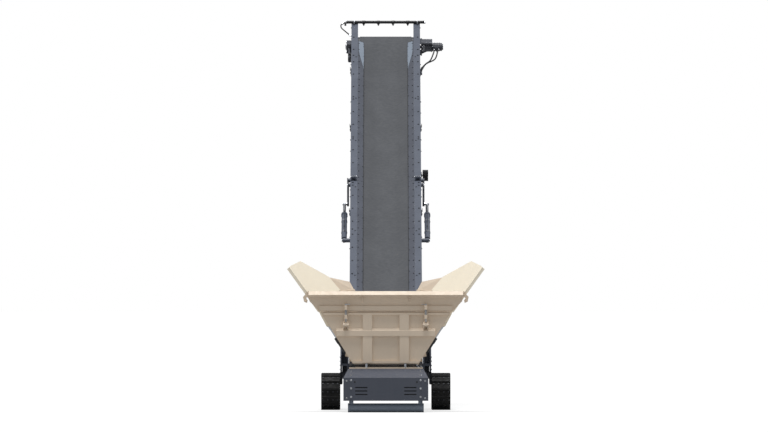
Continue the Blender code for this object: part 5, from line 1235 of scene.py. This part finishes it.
def door_details(hand, left):
    """The louvres, latches and hinge leaves of a canopy door."""
    x = DOOR_FACE
    door = Shape()
    for block_y in (6.75, 7.25):
        for i in range(9):
            z = 1.12 + 0.055 * i
            louvre = [(x, z + 0.028), (x + 0.016, z), (x + 0.012, z - 0.002), (x, z + 0.006)]
            door.slab(louvre, "y", block_y - 0.19, block_y + 0.19)
    door.box((x, x + 0.006), (6.06, 6.40), (1.08, 1.62))
    door.done(f"door_louvres_{hand}", FRAME, f"canopy_door_{hand}", bevel=0.0008, left=left)
    latch = Shape()
    for z in (1.10, 1.60):
        latch.disc((x, 6.02, z), 0.014, ((0.0, 0.026), (0.6, 0.026), (1.0, 0.02)), 20)
        latch.box((x + 0.014, x + 0.018), (6.004, 6.036), (z - 0.004, z + 0.004))
    for z in (1.06, 1.56):
        latch.box((x, x + 0.004), (7.58, 7.645), (z - 0.005, z + 0.065))
        latch.bolt((x + 0.004, 7.60, z + 0.03), RIGHT, 0.006)
    latch.done(f"door_latches_{hand}", ZINC, f"canopy_door_{hand}", bevel=0.0008, left=left)


def roof_details():
    """The roof's vents, bolts and exhaust collar, and the exhaust stack."""
    top = CANOPY_TOP
    roof = Shape()
    for i in range(7):
        y = 6.75 + 0.085 * i
        foot = top + 0.0005
        vent = [(y, foot), (y + 0.05, foot), (y + 0.045, top + 0.016), (y + 0.015, top + 0.020)]
        roof.slab(vent, "x", -0.42, 0.42)
    for x in (-0.60, 0.60):
        for y in (6.0, 6.8, 7.65):
            roof.bolt((x, y, top), UP, 0.009)
    x, y = 0.34, 6.42
    roof.turned((x, y, top), (x, y, top + 0.03), ((0.0, 0.085), (0.4, 0.085), (1.0, 0.06)))
    roof.done("canopy_vents", BLACK, "undercarriage")
    stack = Shape()
    route = [(x, y, top + 0.02), (x, y, 1.95), (x, y, 2.04), (x, 6.36, 2.10), (x, 6.30, 2.12)]
    stack.pipe(smooth(route, 6), 0.045, 20)
    stack.done("exhaust_stack", ZINC, "undercarriage")


def engine_details():
    """The engine's fan, rocker caps, side bolts and filter."""
    floor = ENGINE_FLOOR
    dress = Shape()
    hub = floor + 0.27
    for i in range(7):
        dress.box((-0.035, 0.035), (7.303, 7.312), (0.03, 0.185))
        blade = Matrix.Translation((0, 0, hub)) @ Matrix.Rotation(2 * pi * i / 7, 4, "Y")
        bmesh.ops.transform(dress.mesh, matrix=blade, verts=dress.mesh.verts[-8:])
    dress.turned((0, 7.3015, hub), (0, 7.34, hub), ((0.0, 0.06), (0.7, 0.06), (1.0, 0.04)))
    for y in (6.56, 6.70, 6.84, 6.98):
        dress.rod((0.0, y, floor + 0.5805), (0.0, y, floor + 0.61), 0.045, 16)
    for y in (6.52, 6.66, 6.80, 6.94, 7.08):
        for side in SIDES:
            dress.bolt((side * 0.2105, y, floor + 0.08), (side, 0, 0), 0.010)
    canister = ((0.0, 0.05), (0.1, 0.055), (0.9, 0.055), (1.0, 0.04))
    dress.turned((-0.30, 6.62, floor + 0.30), (-0.2105, 6.62, floor + 0.30), canister)
    dress.done("engine_dress", DARK, "undercarriage")


for is_left, hand in HANDS:
    door_details(hand, is_left)
roof_details()
engine_details()


def cabinet_details():
    """Hinges, latch, gauges and switches of the control box, without any wording."""
    face = 5.7415
    trim = Shape()
    trim.box((-0.05, 0.15), (face - 0.004, face), (1.20, 1.34))
    trim.box((-0.04, 0.14), (face - 0.007, face - 0.004), (1.212, 1.328))
    knob = ((0.0, 0.017), (0.3, 0.017), (0.5, 0.012), (1.0, 0.011))
    for x in (0.20, 0.26, 0.32, 0.38):
        trim.turned((x, face, 1.30), (x, face - 0.016, 1.30), knob, 18)
        trim.turned((x, face, 1.23), (x, face - 0.010, 1.23), ((0.0, 0.014), (0.5, 0.014), (1.0, 0.010)), 18)
    trim.done("cabinet_controls", BLACK, "undercarriage", bevel=0.001)
    bright = Shape()
    for z in (1.08, 1.34):
        bright.rod((-0.084, face + 0.006, z), (-0.084, face + 0.006, z + 0.05), 0.008, 12)
    bright.box((0.405, 0.423), (face - 0.012, face), (1.10, 1.16))
    for x in (-0.085, 0.435):
        for z in (1.035, 1.585):
            bright.bolt((x, 5.7497, z), FRONT, 0.007)
    bright.turned((0.30, 5.7497, 1.45), (0.30, 5.744, 1.45), ((0.0, 0.044), (0.6, 0.044), (1.0, 0.036)), 28)
    bright.done("cabinet_hardware", ZINC, "undercarriage", bevel=0.0008)


cabinet_details()


# ---- the studio ----


SKY_COLOUR = (0.97, 0.985, 1.0, 1.0)
SKY_STRENGTH = 0.36
OVERHEAD_STRENGTH = 2.9
OVERHEAD_ANGLE = radians(28)
FLOOR_REACH = 900.0
FLOOR_Z = -0.002
FLOOR_GLOW = 0.72


def studio_floor():
    """A pale floor that the camera sees as almost white, with the machine's shadow left on it."""
    data = bpy.data.meshes.new("floor")
    corners = [(x * FLOOR_REACH, y * FLOOR_REACH, FLOOR_Z) for x, y in ((-1, -1), (1, -1), (1, 1), (-1, 1))]
    data.from_pydata(corners, [], [(0, 1, 2, 3)])
    nodes = Nodes("floor")
    nodes.shader.inputs["Base Color"].default_value = (0.42, 0.42, 0.42, 1.0)
    nodes.shader.inputs["Roughness"].default_value = 1.0
    path = nodes.add("ShaderNodeLightPath")
    glow = nodes.add("ShaderNodeEmission", {"Strength": 1.0})
    pale = nodes.add("ShaderNodeBsdfDiffuse", {"Color": (0.95, 0.95, 0.95, 1.0)})
    seen = nodes.add("ShaderNodeMixShader", {0: FLOOR_GLOW})
    whole = nodes.add("ShaderNodeMixShader")
    nodes.link(pale.outputs[0], seen.inputs[1])
    nodes.link(glow.outputs[0], seen.inputs[2])
    nodes.link(path.outputs["Is Camera Ray"], whole.inputs[0])
    nodes.link(nodes.shader.outputs[0], whole.inputs[1])
    nodes.link(seen.outputs[0], whole.inputs[2])
    nodes.link(whole.outputs[0], nodes.tree.nodes["Material Output"].inputs["Surface"])
    object_of("floor", data, nodes.material)


def studio_light():
    """A dim even sky that the camera sees as white, and one soft lamp overhead."""
    world = bpy.data.worlds.new("studio")
    bpy.context.scene.world = world
    world.use_nodes = True
    tree = world.node_tree
    tree.nodes.clear()
    path = add_node(tree, "ShaderNodeLightPath")
    either = add_node(tree, "ShaderNodeMath", operation="MAXIMUM")
    white = add_node(tree, "ShaderNodeBackground", {"Color": (1.0, 1.0, 1.0, 1.0), "Strength": 1.0})
    sky = add_node(tree, "ShaderNodeBackground", {"Color": SKY_COLOUR, "Strength": SKY_STRENGTH})
    mixed = add_node(tree, "ShaderNodeMixShader")
    out = add_node(tree, "ShaderNodeOutputWorld")
    for source, target in (
        (path.outputs["Is Camera Ray"], either.inputs[0]),
        (path.outputs["Is Transmission Ray"], either.inputs[1]),
        (either.outputs[0], mixed.inputs[0]),
        (sky.outputs[0], mixed.inputs[1]),
        (white.outputs[0], mixed.inputs[2]),
        (mixed.outputs[0], out.inputs["Surface"]),
    ):
        tree.links.new(source, target)
    lamp = bpy.data.lights.new("overhead", "SUN")
    lamp.energy = OVERHEAD_STRENGTH
    lamp.angle = OVERHEAD_ANGLE
    holder = bpy.data.objects.new("overhead", lamp)
    holder.rotation_euler = Vector((0.04, 0.12, -1.0)).to_track_quat("-Z", "Y").to_euler()
    bpy.context.scene.collection.objects.link(holder)


bpy.context.scene.view_settings.view_transform = "Standard"
studio_floor()
studio_light()
